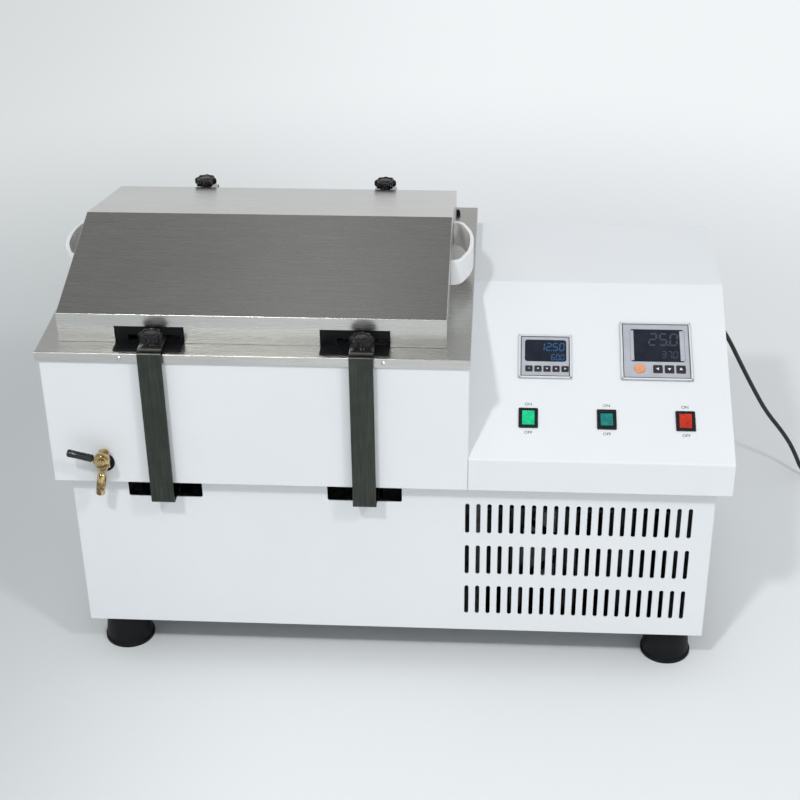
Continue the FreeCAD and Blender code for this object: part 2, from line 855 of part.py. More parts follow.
def make_control_housing():
    """A folded housing with a sloping panel, its ends closed, open underneath."""
    body = new_body("control_shell")
    sheet, bend, angle = s.panel_sheet, s.panel_bend, s.panel_angle
    ridge_y = upper_front + s.panel_length * cosine(angle)
    ridge_z = slope_low + s.panel_length * sine(angle)
    half_slope = sine(angle) / (1 + cosine(angle))
    lean = (1 - sine(angle)) / cosine(angle)
    outer = [(upper_front, cabinet_top), (upper_back, cabinet_top), (upper_back, ridge_z, bend),
             (ridge_y, ridge_z, bend), (upper_front, slope_low, bend)]
    inner = [(upper_front + sheet, cabinet_top), (upper_back - sheet, cabinet_top),
             (upper_back - sheet, ridge_z - sheet, bend - sheet),
             (ridge_y + sheet * half_slope, ridge_z - sheet, bend - sheet),
             (upper_front + sheet, slope_low - sheet * lean, bend - sheet)]
    pad(body, "YZ", outer, casing_right, control_width)
    pocket(body, "YZ", inner, casing_right + sheet, control_width - 2 * sheet)
    clear_shelf(body, casing_right)
    pocket_ring(body, "XZ", cord_exit_x, cord_exit_z, s.gland_relief_radius, upper_back - 2 * sheet, 3 * sheet)
    inset = s.meter_lip - s.cutout_gap
    cutters = [
        panel_cutout("timer_cutout", timer_left + inset, s.timer_up + inset,
                     s.timer_size - 2 * inset, s.timer_size - 2 * inset),
        panel_cutout("thermo_cutout", thermo_left + inset, s.thermo_up + inset,
                     s.thermo_size - 2 * inset, s.thermo_size - 2 * inset),
    ]
    inset = s.switch_body_inset - s.cutout_gap
    for i in range(len(ROCKERS_PRESSED)):
        left = switch_across(i) - s.switch_width / 2 + inset
        cutters.append(panel_cutout(f"switch_cutout_{i + 1}", left, s.switch_up - s.switch_tall / 2 + inset,
                                    s.switch_width - 2 * inset, s.switch_tall - 2 * inset))
    piece("control_housing", without("control_housing", body, cutters))


def make_deck():
    """Stainless deck with a turned-down skirt and the bath's opening."""
    body = new_body("deck")
    sheet = s.deck_sheet
    base = deck_top - s.deck_skirt
    pad(body, "XY", rectangle(deck_left, deck_front, deck_right, -deck_front), base, s.deck_skirt)
    round_edges(body, s.deck_edge_radius, lambda edge: edge.BoundBox.ZMin > deck_top.number - 0.1)
    pocket(body, "XY", rectangle(deck_left + sheet, deck_front + sheet, deck_right - sheet, -deck_front - sheet),
           base, s.deck_skirt - sheet)
    opening = middle_rectangle(lid_middle, 0, s.tank_length, tank_breadth, s.tank_corner)
    pocket(body, "XY", opening, casing_top - sheet, 3 * sheet)
    piece("deck", place(body))


def make_tank():
    """Stainless tank whose rim seats under the deck."""
    body = new_body("bath_tank")
    middle, sheet = lid_middle, s.tank_sheet
    length, breadth, corner = s.tank_length, tank_breadth, s.tank_corner
    outer = middle_rectangle(middle, 0, length + 2 * sheet, breadth + 2 * sheet, corner + sheet)
    rim = middle_rectangle(middle, 0, length + 2 * s.tank_flange, breadth + 2 * s.tank_flange, corner)
    inner = middle_rectangle(middle, 0, length, breadth, corner)
    pad(body, "XY", outer, tank_floor, s.tank_depth)
    pad(body, "XY", rim, casing_top - sheet, sheet)
    pocket(body, "XY", inner, tank_floor + sheet, s.tank_depth)
    piece("bath_tank", place(body))


def make_insulation():
    """A foam tray that the tank sits in, on the shelf."""
    body = new_body("insulation")
    middle, wall = lid_middle, s.foam_wall
    length, breadth = s.tank_length + 2 * s.tank_sheet, tank_breadth + 2 * s.tank_sheet
    outer = middle_rectangle(middle, 0, length + 2 * wall, breadth + 2 * wall)
    inner = middle_rectangle(middle, 0, length, breadth, s.tank_corner + s.tank_sheet)
    top = casing_top - s.tank_sheet
    pad(body, "XY", outer, shelf_top, top - shelf_top)
    pocket(body, "XY", inner, tank_floor, s.tank_depth)
    piece("insulation", place(body))


def make_tubes():
    """The heater, the cooling coil and the temperature probe, all through the tank's right wall."""
    wall = lid_middle + s.tank_length / 2
    level = tank_floor + s.tank_sheet + s.element_above_floor
    wall_x, z = wall.number, level.number
    far = wall_x - s.tank_length.number * 0.86
    outside = tank_breadth.number * 0.36
    heater = [(wall_x, -outside, z), (far, -outside, z), (far, outside, z), (wall_x, outside, z)]
    set_shape(piece("heater", doc.addObject("Part::Feature", "heater")),
              pipe_with_ends(heater, s.heater_radius.number, outside * 0.4))
    near, back = wall_x - outside * 0.35, far + outside * 0.35
    outer_row, inner_row = outside * 0.52, outside * 0.17
    coil = [(wall_x, -outer_row, z), (back, -outer_row, z), (back, -inner_row, z), (near, -inner_row, z),
            (near, inner_row, z), (back, inner_row, z), (back, outer_row, z), (wall_x, outer_row, z)]
    set_shape(piece("cooling_coil", doc.addObject("Part::Feature", "cooling_coil")),
              pipe_with_ends(coil, s.coil_pipe_radius.number, outside * 0.16))
    probe_level = tank_floor + s.tank_sheet + s.probe_above_floor
    rod = cylinder("probe_rod", (wall - s.probe_length, 0, probe_level), s.probe_radius, s.probe_length, "X")
    boss = cylinder("probe_boss", (wall - s.flange_sheet, 0, probe_level), s.flange_radius / 2,
                    s.flange_sheet, "X")
    piece("temperature_probe", joined("temperature_probe", [rod, boss]))


def pipe_with_ends(points, radius, bend):
    """A bent pipe with a round flange where each end meets the tank's wall."""
    shape = pipe(points, radius, bend)
    for point in (points[0], points[-1]):
        base = FreeCAD.Vector(*point) - FreeCAD.Vector(s.flange_sheet.number, 0, 0)
        flange = Part.makeCylinder(s.flange_radius.number / 1.4, s.flange_sheet.number, base,
                                   FreeCAD.Vector(1, 0, 0))
        shape = shape.fuse(flange)
    return shape.removeSplitter()


def set_shape(item, shape):
    item.Shape = shape
    item.Placement = FreeCAD.Placement()


def bent_path(points, bend_for):
    """Straight runs joined by tangent arcs; bend_for gives each corner's radius."""
    corners = [FreeCAD.Vector(*point) for point in points]
    edges, start, radii = [], corners[0], []
    for i in range(1, len(corners) - 1):
        back = (corners[i - 1] - corners[i])
        ahead = (corners[i + 1] - corners[i])
        half = back.getAngle(ahead) / 2
        radius = bend_for(min(back.Length, ahead.Length), math.pi / 2 - half)
        back.normalize()
        ahead.normalize()
        trim = radius / math.tan(half)
        meet_in, meet_out = corners[i] + back * trim, corners[i] + ahead * trim
        middle = (back + ahead).normalize()
        through = corners[i] + middle * (radius / math.sin(half) - radius)
        edges.append(Part.LineSegment(start, meet_in).toShape())
        edges.append(Part.Arc(meet_in, through, meet_out).toShape())
        start = meet_out
        radii.append(radius)
    edges.append(Part.LineSegment(start, corners[-1]).toShape())
    return Part.Wire(edges), radii


def pipe(points, radius, bend):
    path, radii = bent_path(points, lambda run, half_turn: bend)
    return sweep_round(path, radius)


def sweep_round(path, radius):
    start = path.Edges[0]
    tangent = start.tangentAt(start.FirstParameter)
    section = Part.Wire([Part.makeCircle(radius, start.valueAt(start.FirstParameter), tangent)])
    return path.makePipeShell([section], True, False)


def make_lid():
    """A folded gable lid, open underneath, with a notch in each skirt for every arm."""
    body = new_body("lid")
    sheet = s.lid_sheet
    pitch = s.lid_rise / -lid_front
    fold = root(1 + pitch * pitch)
    inner_eave = lid_eave + pitch * sheet - sheet * fold
    inner_ridge = lid_eave + s.lid_rise - sheet * fold
    outer = [(lid_front, lid_base), (-lid_front, lid_base), (-lid_front, lid_eave), (0, lid_eave + s.lid_rise),
             (lid_front, lid_eave)]
    inner = [(lid_front + sheet, lid_base - sheet), (-lid_front - sheet, lid_base - sheet),
             (-lid_front - sheet, inner_eave), (0, inner_ridge), (lid_front + sheet, inner_eave)]
    pad(body, "YZ", outer, lid_left, lid_right - lid_left)
    round_edges(body, s.deck_edge_radius, lambda edge: edge.BoundBox.ZMin > lid_base.number + 0.1)
    pocket(body, "YZ", inner, lid_left + sheet, lid_right - lid_left - 2 * sheet)
    shifts = {"left": s.notch_shift_left, "right": s.notch_shift_right}
    faces = {"front": (lid_front - sheet, s.notch_front_height), "rear": (-lid_front - 2 * sheet, s.notch_rear_height)}
    for side, x in arm_places.items():
        for start, tall in faces.values():
            left = x - shifts[side] - s.notch_width / 2
            pocket(body, "XZ", rectangle(left, deck_top - sheet, left + s.notch_width, deck_top + tall),
                   start, 3 * sheet)
    piece("lid", place(body))


def make_lid_handle(side, wall_x, outward):
    """A moulded bow handle on the lid's gable end: half an ellipse, drawn with four arcs."""
    body = new_body("lid_handle_" + side)
    reach, half = s.handle_reach, s.handle_length / 2
    inner_reach, inner_half = reach - s.handle_band, half - s.handle_foot
    near, end_arc, side_arc = 0.414, 0.56, 1.65
    profile = [
        (0, -half), (outward * near * reach, -half, end_arc * reach),
        (outward * reach, -near * half, side_arc * half), (outward * reach, near * half, side_arc * half),
        (outward * near * reach, half, end_arc * reach), (0, half),
        (0, inner_half), (outward * near * inner_reach, inner_half, end_arc * inner_reach),
        (outward * inner_reach, near * inner_half, side_arc * inner_half),
        (outward * inner_reach, -near * inner_half, side_arc * inner_half),
        (outward * near * inner_reach, -inner_half, end_arc * inner_reach), (0, -inner_half),
    ]
    if outward < 0:
        profile = [profile[0]] + profile[:0:-1]
    pad(body, "XY", profile, 0, s.handle_tall)
    piece("lid_handle_" + side, place(body, wall_x, 0, lid_base + s.handle_lift))


def make_arm(side, x, end):
    """A steel strap from the carriage, up the casing's face and over the edge of the deck."""
    body = new_body(f"{end}_arm_{side}")
    sheet, sign, top = s.arm_sheet, side_signs[end], arm_tops[end]
    face, bend = -arm_face, s.arm_bend
    profile = [(face - s.arm_inward, arm_foot), (face, arm_foot, bend), (face, top, bend),
               (face - s.arm_top_run, top), (face - s.arm_top_run, top - sheet),
               (face - sheet, top - sheet, bend - sheet), (face - sheet, arm_foot + sheet, bend - sheet),
               (face - s.arm_inward, arm_foot + sheet)]
    profile = mirrored(profile, sign)
    pad(body, "YZ", profile, -s.arm_width / 2, s.arm_width)
    pocket_ring(body, "XY", 0, sign * (face - s.knob_inset), s.stud_radius + s.running_fit, top - 2 * sheet,
                3 * sheet)
    piece(f"{end}_arm_{side}", place(body, x, 0, 0))


def mirrored(profile, sign):
    """The same outline on the other side of the v axis, still drawn anticlockwise."""
    if sign > 0:
        return profile
    turned = [(-corner[0],) + tuple(corner[1:]) for corner in profile]
    return [turned[0]] + turned[:0:-1]


def make_tray():
    """A perforated tray with four welded straps that hang it from the arms."""
    body = new_body("tray_pan")
    middle, sheet = lid_middle, s.tray_sheet
    half_length, half_breadth = s.tank_length / 2 - s.tray_end_gap, tank_breadth / 2 - s.tray_side_gap
    pad(body, "XY", rectangle(middle - half_length, -half_breadth, middle + half_length, half_breadth),
        tray_floor, s.tray_rim)
    pocket(body, "XY", rectangle(middle - half_length + sheet, sheet - half_breadth,
                                 middle + half_length - sheet, half_breadth - sheet),
           tray_floor + sheet, s.tray_rim)
    step_x, step_y = 2 * half_length / TRAY_COLUMNS, 2 * half_breadth / TRAY_ROWS
    hole = pocket_ring(body, "XY", middle - half_length + step_x / 2, step_y / 2 - half_breadth,
                       s.tray_hole_radius, tray_floor - sheet, 3 * sheet)
    repeat(body, hole, "X", step_x, TRAY_COLUMNS, "Y", step_y, TRAY_ROWS)
    parts = [place(body)]
    for side, x in arm_places.items():
        for end in side_signs:
            parts.append(make_hanger(f"{end}_hanger_{side}", x, end))
    piece("tray", joined("tray", parts))


def make_hanger(name, x, end):
    body = new_body(name)
    sheet, sign, top = s.arm_sheet, side_signs[end], arm_tops[end]
    outer = -arm_face - s.hanger_setback
    leg = tank_breadth / 2 - s.hanger_wall_gap
    foot_end = tank_breadth / 2 - s.tray_side_gap - s.arm_width / 2
    bend = s.arm_bend
    profile = [(foot_end, tray_floor - sheet), (leg, tray_floor - sheet, bend), (leg, top, bend - sheet),
               (outer, top), (outer, top + sheet), (leg - sheet, top + sheet, bend),
               (leg - sheet, tray_floor, bend - sheet), (foot_end, tray_floor)]
    pad(body, "YZ", mirrored(profile, sign), -s.arm_width / 2, s.arm_width)
    pocket_ring(body, "XY", 0, sign * (-arm_face - s.knob_inset), s.stud_radius + s.running_fit, top - sheet,
                3 * sheet)
    return place(body, x, 0, 0)


def make_arm_guards():
    """Rubber splash guards: a strip on the deck under each arm and a curtain behind the lid's notch."""
    guards = []
    shifts = {"left": s.notch_shift_left, "right": s.notch_shift_right}
    heights = {"front": s.notch_front_height, "rear": s.notch_rear_height}
    for side, x in arm_places.items():
        for end, sign in side_signs.items():
            guards.append(make_guard(f"{end}_guard_{side}", x, -shifts[side], sign, arm_tops[end], heights[end]))
    piece("arm_guards", grouped("arm_guards", guards))


def make_guard(name, x, shift, sign, arm_top, notch_tall):
    body = new_body(name)
    sheet = s.guard_sheet
    curtain = -lid_front - s.lid_sheet - s.guard_curtain_gap
    top = deck_top + notch_tall + s.guard_curtain_over
    profile = [(curtain - sheet, deck_top), (s.guard_reach - lid_front, deck_top),
               (s.guard_reach - lid_front, deck_top + sheet), (curtain, deck_top + sheet), (curtain, top),
               (curtain - sheet, top)]
    half = s.notch_width / 2 - s.guard_side_gap
    pad(body, "YZ", mirrored(profile, sign), shift - half, 2 * half)
    window_half = s.arm_width / 2 + s.stroke + s.guard_window_gap
    low = arm_top - s.guard_window_gap if sign > 0 else deck_top + sheet
    window_top = arm_top + s.arm_sheet + s.guard_window_gap
    start = curtain - 2 * sheet if sign > 0 else -curtain - sheet
    pocket(body, "XZ", rectangle(-window_half, low, window_half, window_top), start, 3 * sheet)
    return place(body, x, 0, 0)


def make_knob(side, x, end):
    """A lobed hand knob whose stud clamps the tray's strap to the arm."""
    body = new_body(f"{end}_knob_{side}")
    top = arm_tops[end] + s.arm_sheet
    gap, sheet = s.body_gap, s.arm_sheet
    head_base = gap + s.knob_tall - s.knob_head
    profile = [(0, -2 * sheet), (s.stud_radius, -2 * sheet), (s.stud_radius, gap), (s.knob_hub_radius, gap),
               (s.knob_core_radius * 0.8, head_base), (s.knob_core_radius, head_base),
               (s.knob_core_radius, gap + s.knob_tall), (s.knob_cap_radius, gap + s.knob_tall),
               (s.knob_cap_radius, gap + s.knob_tall - s.knob_cap_depth), (0, gap + s.knob_tall - s.knob_cap_depth)]
    revolve(body, "XZ", profile, "Z")
    lobe = pad_ring(body, "XY", s.knob_radius - s.knob_lobe_radius, 0, s.knob_lobe_radius,
                    head_base + s.knob_edge, s.knob_head - 2 * s.knob_edge)
    repeat_round(body, lobe, "Z", KNOB_LOBES)
    sign = side_signs[end]
    piece(f"{end}_knob_{side}", place(body, x, sign * (-arm_face - s.knob_inset), top))


def make_carriage():
    """Two crossbars, a spine and four bearing blocks that run on the rails."""
    crossbar_end = cabinet_back - s.crossbar_end_gap
    spine_base = crossbar_base - s.crossbar_sheet
    parts = [box("spine", (arm_places["left"], -s.spine_width / 2, spine_base),
                 (s.arm_spacing, s.spine_width, s.crossbar_sheet))]
    bores = []
    for side, x in arm_places.items():
        parts.append(box(f"crossbar_{side}", (x - s.arm_width / 2, -crossbar_end, crossbar_base),
                         (s.arm_width, 2 * crossbar_end, s.crossbar_sheet)))
        for sign in (-1, 1):
            block_y = sign * s.rail_spread - s.bearing_size / 2
            block_tall = crossbar_base - rail_level + s.bearing_size / 2
            parts.append(box(f"bearing_{side}_{sign + 1}", (x - s.bearing_length / 2, block_y,
                                                            rail_level - s.bearing_size / 2),
                             (s.bearing_length, s.bearing_size, block_tall)))
            bores.append(cylinder(f"bore_{side}_{sign + 1}", (x - s.bearing_length, sign * s.rail_spread, rail_level),
                                  s.rail_radius + s.running_fit, 2 * s.bearing_length, "X"))
    rod_pin_low = rod_eye_base - s.rod_pin_over
    parts.append(cylinder("rod_pin", (rod_pin_x, 0, rod_pin_low), s.rod_pin_radius, spine_base - rod_pin_low))
    parts.append(cylinder("rod_pin_shoulder", (rod_pin_x, 0, rod_eye_base + s.rod_sheet + s.body_gap),
                          s.rod_pin_radius * 1.6, spine_base - rod_eye_base - s.rod_sheet - s.body_gap))
    parts.append(box("rod_pin_plate", (arm_places["right"] - s.arm_width, -s.spine_width / 2, spine_base),
                     (s.arm_width * 1.5, s.spine_width, s.crossbar_sheet)))
    frame = joined("carriage_frame", parts)
    piece("carriage", without("carriage", frame, bores))


def make_rails():
    """Two ground rods, each held by a block at both ends under the shelf."""
    parts = []
    start = arm_places["left"] - s.bearing_length / 2 - s.stroke - s.rail_over / 2
    end = arm_places["right"] + s.bearing_length / 2 + s.stroke + s.rail_over / 2
    for sign in (-1, 1):
        y = sign * s.rail_spread
        parts.append(cylinder(f"rail_{sign + 1}", (start - s.bracket_sheet, y, rail_level), s.rail_radius,
                              end - start + 2 * s.bracket_sheet, "X"))
        for i, x in enumerate((start - s.bracket_sheet, end)):
            parts.append(box(f"rail_block_{sign + 1}_{i}", (x, y - s.bearing_size / 2, rail_level - s.bearing_size / 2),
                             (s.bracket_sheet, s.bearing_size, cabinet_top - rail_level + s.bearing_size / 2)))
    piece("guide_rails", grouped("guide_rails", [joined("rail_pair_front", parts[:3]),
                                                 joined("rail_pair_rear", parts[3:])]))


def make_drive_motor():
    """A gear motor that hangs from a bridge on the base pan, its shaft upwards."""
    x = crank_x
    bridge_top = crank_base - s.body_gap
    leg, size = s.bracket_leg_sheet, s.gearbox_size
    gearbox_base = bridge_top - leg - s.gearbox_tall
    motor_base = pan_top + s.motor_floor_gap
    half_bridge = size / 2 + 2 * leg
    parts = [
        box("bridge_top", (x - size / 2, -half_bridge, bridge_top - leg), (size, 2 * half_bridge, leg)),
        box("bridge_front", (x - size / 2, -half_bridge, pan_top), (size, leg, bridge_top - pan_top)),
        box("bridge_rear", (x - size / 2, half_bridge - leg, pan_top), (size, leg, bridge_top - pan_top)),
        box("gearbox", (x - size / 2, -size / 2, gearbox_base), (size, size, s.gearbox_tall)),
        cylinder("motor_can", (x, 0, motor_base), s.motor_radius, gearbox_base - motor_base),
        cylinder("motor_shaft", (x, 0, gearbox_base), s.motor_shaft_radius,
                 crank_base + s.crank_sheet - gearbox_base),
    ]
    piece("drive_motor", joined("drive_motor", parts))


def make_crank():
    body = new_body("crank")
    pad_ring(body, "XY", 0, 0, s.crank_radius, 0, s.crank_sheet)
    pad_ring(body, "XY", 0, s.crank_throw, s.crank_pin_radius, 0, 2 * s.crank_sheet)
    pocket_ring(body, "XY", 0, 0, s.motor_shaft_radius + s.running_fit, -s.crank_sheet, 3 * s.crank_sheet)
    piece("crank", place(body, crank_x, 0, crank_base))


def make_connecting_rod():
    """A flat rod with an eye at each end, modelled along X and turned to meet the crank pin."""
    body = new_body("connecting_rod")
    length, tall = s.rod_length, s.rod_sheet
    pad_ring(body, "XY", 0, 0, s.rod_eye_radius, 0, tall)
    pad_ring(body, "XY", length, 0, s.rod_eye_radius, 0, tall)
    pad(body, "XY", rectangle(0, -s.rod_web / 2, length, s.rod_web / 2), 0, tall)
    pocket_ring(body, "XY", 0, 0, s.rod_pin_radius + s.running_fit, -tall, 3 * tall)
    pocket_ring(body, "XY", length, 0, s.crank_pin_radius + s.running_fit, -tall, 3 * tall)
    swing = Size(math.degrees(math.asin(s.crank_throw.number / s.rod_length.number)),
                 f"asin({s.crank_throw.formula} / {s.rod_length.formula})")
    tilt(body, FreeCAD.Vector(0, 0, 1), swing)
    piece("connecting_rod", place(body, rod_pin_x, 0, rod_eye_base))


def make_condenser():
    """Finned coil behind the front vents, between two header plates, with the fan's shroud."""
    left, width, tall, deep = condenser_left, condenser_width, s.condenser_tall, s.condenser_deep
    front = cabinet_front + s.panel_sheet + s.condenser_setback
    body = new_body("condenser")
    header = s.header_sheet
    pad(body, "XY", rectangle(left, front, left + width, front + deep), pan_top, header)
    pad(body, "XY", rectangle(left, front, left + width, front + deep), pan_top + tall - header, header)
    count = int(round((width.number - s.fin_sheet.number) / s.fin_pitch.number))
    fin = pad(body, "XY", rectangle(left, front, left + s.fin_sheet, front + deep), pan_top, tall)
    repeat(body, fin, "X", (width - s.fin_sheet) / count, count + 1)
    shroud_front = front + deep
    pad(body, "XZ", rectangle(left, pan_top, left + width, pan_top + tall), shroud_front, s.shroud_sheet)
    middle_z = pan_top + tall / 2
    pad_ring(body, "XZ", fan_x, middle_z, s.fan_radius + 3 * s.shroud_sheet, shroud_front, s.shroud_depth)
    pocket_ring(body, "XZ", fan_x, middle_z, s.fan_radius + 2 * s.shroud_sheet, shroud_front,
                s.shroud_depth * 1.5)
    piece("condenser", place(body))


def make_fan():
    """Fan motor on three stays behind the shroud, and the fan that turns on its shaft."""
    front = cabinet_front + s.panel_sheet + s.condenser_setback + s.condenser_deep
    x, z = fan_x, pan_top + s.condenser_tall / 2
    hub_back = front + s.shroud_depth
    motor_front = hub_back + s.body_gap * 2
    shaft_start = front + s.shroud_sheet
    parts = [cylinder("fan_can", (x, motor_front, z), s.fan_motor_radius, s.fan_motor_long, "Y"),
             cylinder("fan_shaft", (x, shaft_start, z), s.fan_shaft_radius, motor_front - shaft_start, "Y")]
    stay_x = s.fan_radius + 3 * s.shroud_sheet
    parts.append(box("fan_stay", (x - stay_x, motor_front + 4, z - s.fan_motor_radius / 2),
                     (2 * stay_x, s.header_sheet, s.fan_motor_radius)))
    for sign in (-1, 1):
        foot_x = x + sign * stay_x - (s.header_sheet if sign > 0 else 0)
        parts.append(box(f"fan_stay_foot_{sign + 1}", (foot_x, hub_back, z - s.fan_motor_radius / 2),
                         (s.header_sheet, motor_front + 4 - hub_back, s.fan_motor_radius)))
    piece("fan_motor", joined("fan_motor", parts))
    body = new_body("fan_blade")
    pad_ring(body, "XZ", 0, 0, s.fan_hub_radius, 0, s.fan_deep)
    blade = pad(body, "XZ", rectangle(s.fan_hub_radius - 2, -s.fan_blade_sheet / 2, s.fan_radius - 2,
                                      s.fan_blade_sheet / 2), 1, s.fan_deep - 2)
    repeat_round(body, blade, "Y", FAN_BLADES)
    pocket_ring(body, "XZ", 0, 0, s.fan_shaft_radius + s.running_fit, -s.fan_deep, 3 * s.fan_deep)
    piece("fan_blade", place(body, x, shaft_start + s.body_gap, z))


def make_compressor():
    """A hermetic compressor: a domed steel can with three mounting ears."""
    body = new_body("compressor")
    radius, tall = s.compressor_radius, s.compressor_tall
    dome = radius * 0.5
    profile = [(0, 8), (radius * 0.86, 8, 6), (radius, dome * 0.6), (radius, tall - dome, dome * 0.6),
               (radius * 0.6, tall, dome * 0.5), (0, tall)]
    revolve(body, "XZ", profile, "Z")
    ears = pad(body, "XY", rectangle(-radius * 0.95, -radius * 0.8, radius * 0.95, radius * 0.8, 14), 0, 10)
    piece("compressor", place(body, cabinet_right - s.compressor_side_gap - radius,
                              cabinet_back - s.compressor_back_gap - radius, pan_top))


def make_tap():
    """A small tap: a tail through the casing, a seal ring, and a body, spout and lever that lean
    over because the tap is screwed in a little past upright."""
    x, level, seal_front = tap_x, tap_level, upper_front - s.tap_seal_sheet
    seal = without("tap_seal", cylinder("seal_disc", (x, seal_front, level), s.tap_seal_radius,
                                        s.tap_seal_sheet, "Y"),
                   [cylinder("seal_bore", (x, seal_front - s.tap_seal_sheet, level), s.tap_tail_radius,
                             3 * s.tap_seal_sheet, "Y")])
    piece("tap_seal", seal)
    body_y = upper_front - s.tap_axis_out
    boss_end = body_y - s.tap_boss_long
    lever_back = boss_end - s.body_gap
    lever_front = lever_back - s.lever_hub_long
    head_back = lever_front - s.body_gap
    pivot_x = x + s.tap_pivot_above * sine(s.tap_lean)
    pivot_z = level + s.tap_pivot_above * cosine(s.tap_lean)
    hexagon = doc.addObject("Part::Prism", "tap_hexagon")
    hexagon.Polygon = 6
    bind(hexagon, "Circumradius", s.tap_hex_radius)
    bind(hexagon, "Height", s.tap_hex_long)
    hexagon.Placement = FreeCAD.Placement(FreeCAD.Vector(), FreeCAD.Rotation(FreeCAD.Vector(1, 0, 0), -90))
    place(hexagon, x, seal_front - s.tap_hex_long, level)
    spout_end = -s.tap_spout_below - s.tap_spout_long
    waist_low = -s.tap_spout_below - (s.tap_spout_long - s.tap_bore_long) / 2
    parts = [
        cylinder("tap_tail", (x, body_y, level), s.tap_tail_radius, s.tap_axis_out + s.tap_tail_long, "Y"),
        hexagon,
        leaning("tap_barrel", -s.tap_body_below, body_y, s.tap_body_radius, s.tap_body_below + s.tap_body_above),
        leaning("tap_waist", waist_low, body_y, s.tap_waist_radius, -waist_low),
        leaning("tap_spout", spout_end, body_y, s.tap_spout_radius, s.tap_spout_long),
        cylinder("tap_boss", (pivot_x, boss_end, pivot_z), s.tap_boss_radius, s.tap_boss_long, "Y"),
        cylinder("tap_pin", (pivot_x, head_back, pivot_z), s.tap_pin_radius, boss_end - head_back, "Y"),
        cylinder("tap_screw", (pivot_x, head_back - s.tap_screw_head, pivot_z), s.tap_screw_radius,
                 s.tap_screw_head, "Y"),
    ]
    bore = leaning("tap_bore", spout_end - s.tap_seal_sheet, body_y, s.tap_bore_radius,
                   s.tap_bore_long + s.tap_seal_sheet)
    piece("tap_body", without("tap_body", joined("tap_solid", parts), [bore]))
    stem_y = (lever_front + lever_back) / 2
    rise = s.tap_lean + s.lever_rise
    hub = cylinder("lever_hub", (pivot_x, lever_front, pivot_z), s.lever_hub_radius, s.lever_hub_long, "Y")
    stem = cylinder("lever_stem", (0, 0, 0), s.lever_stem_radius, s.lever_sleeve_start + s.lever_radius)
    sleeve = cylinder("lever_sleeve", (0, 0, 0), s.lever_radius, s.lever_long - s.lever_sleeve_start)
    for item, start in ((stem, 0), (sleeve, s.lever_sleeve_start)):
        tilt(item, FreeCAD.Vector(0, -1, 0), 90 - rise)
        place(item, pivot_x - start * cosine(rise), stem_y, pivot_z + start * sine(rise))
    hub_bore = cylinder("lever_bore", (pivot_x, lever_front - s.body_gap, pivot_z),
                        s.tap_pin_radius + s.running_fit, s.lever_hub_long + 2 * s.body_gap, "Y")
    piece("tap_lever", without("tap_lever", joined("lever_solid", [hub, stem, sleeve]), [hub_bore]))


def leaning(name, start, y, radius, length):
    """A cylinder along the tap's leaning axis, from a height measured along it."""
    item = tilt(cylinder(name, (0, 0, 0), radius, length), FreeCAD.Vector(0, 1, 0), s.tap_lean)
    return place(item, tap_x + start * sine(s.tap_lean), y, tap_level + start * cosine(s.tap_lean))


def meter_body(name, size, tall):
    """A panel meter: a square bezel with a shallow rebate, and the case behind the panel."""
    body = new_body(name)
    lip, rebate = s.meter_lip, s.meter_rebate
    pad(body, "XY", rectangle(0, 0, size, size, 2), 0, tall)
    pad(body, "XY", rectangle(lip, lip, size - lip, size - lip), -s.meter_deep, s.meter_deep + 1)
    pocket(body, "XY", rectangle(rebate, rebate, size - rebate, size - rebate, 1.5),
           tall - s.meter_rebate_deep, tall)
    return body


def cut_window(body, left, up, width, high, tall):
    base = tall - s.meter_rebate_deep - s.window_sunk - s.window_sheet
    pocket(body, "XY", rectangle(left, up, left + width, up + high, s.window_corner), base, tall)


def key_hole(body, tall):
    """Depth of a key's hole below the meter's face: room for the key and its travel."""
    return tall - s.meter_rebate_deep - s.key_deep - s.key_travel - s.key_gap


def make_timer():
    body = meter_body("timer_meter", s.timer_size, s.timer_tall)
    cut_window(body, s.timer_window_left, s.timer_window_up, s.timer_window_width, s.timer_window_tall,
               s.timer_tall)
    gap, base = s.key_gap, key_hole(body, s.timer_tall)
    hole = pocket(body, "XY", rectangle(s.timer_key_left - gap, s.timer_key_up - gap,
                                        s.timer_key_left + s.timer_key_width + gap,
                                        s.timer_key_up + s.timer_key_tall + gap, s.key_corner + gap),
                  base, s.meter_deep)
    repeat(body, hole, "X", s.timer_key_pitch, TIMER_KEYS)
    piece("timer_meter", on_slope(body, timer_left, s.timer_up, 0))
    for i in range(TIMER_KEYS):
        key = new_body(f"timer_key_{i + 1}")
        pad(key, "XY", rectangle(0, 0, s.timer_key_width, s.timer_key_tall, s.key_corner), 0,
            s.key_deep + s.key_proud)
        proud = s.timer_tall - s.meter_rebate_deep - s.key_deep
        piece(f"timer_key_{i + 1}", on_slope(key, timer_left + s.timer_key_left + i * s.timer_key_pitch,
                                             s.timer_up + s.timer_key_up, proud))


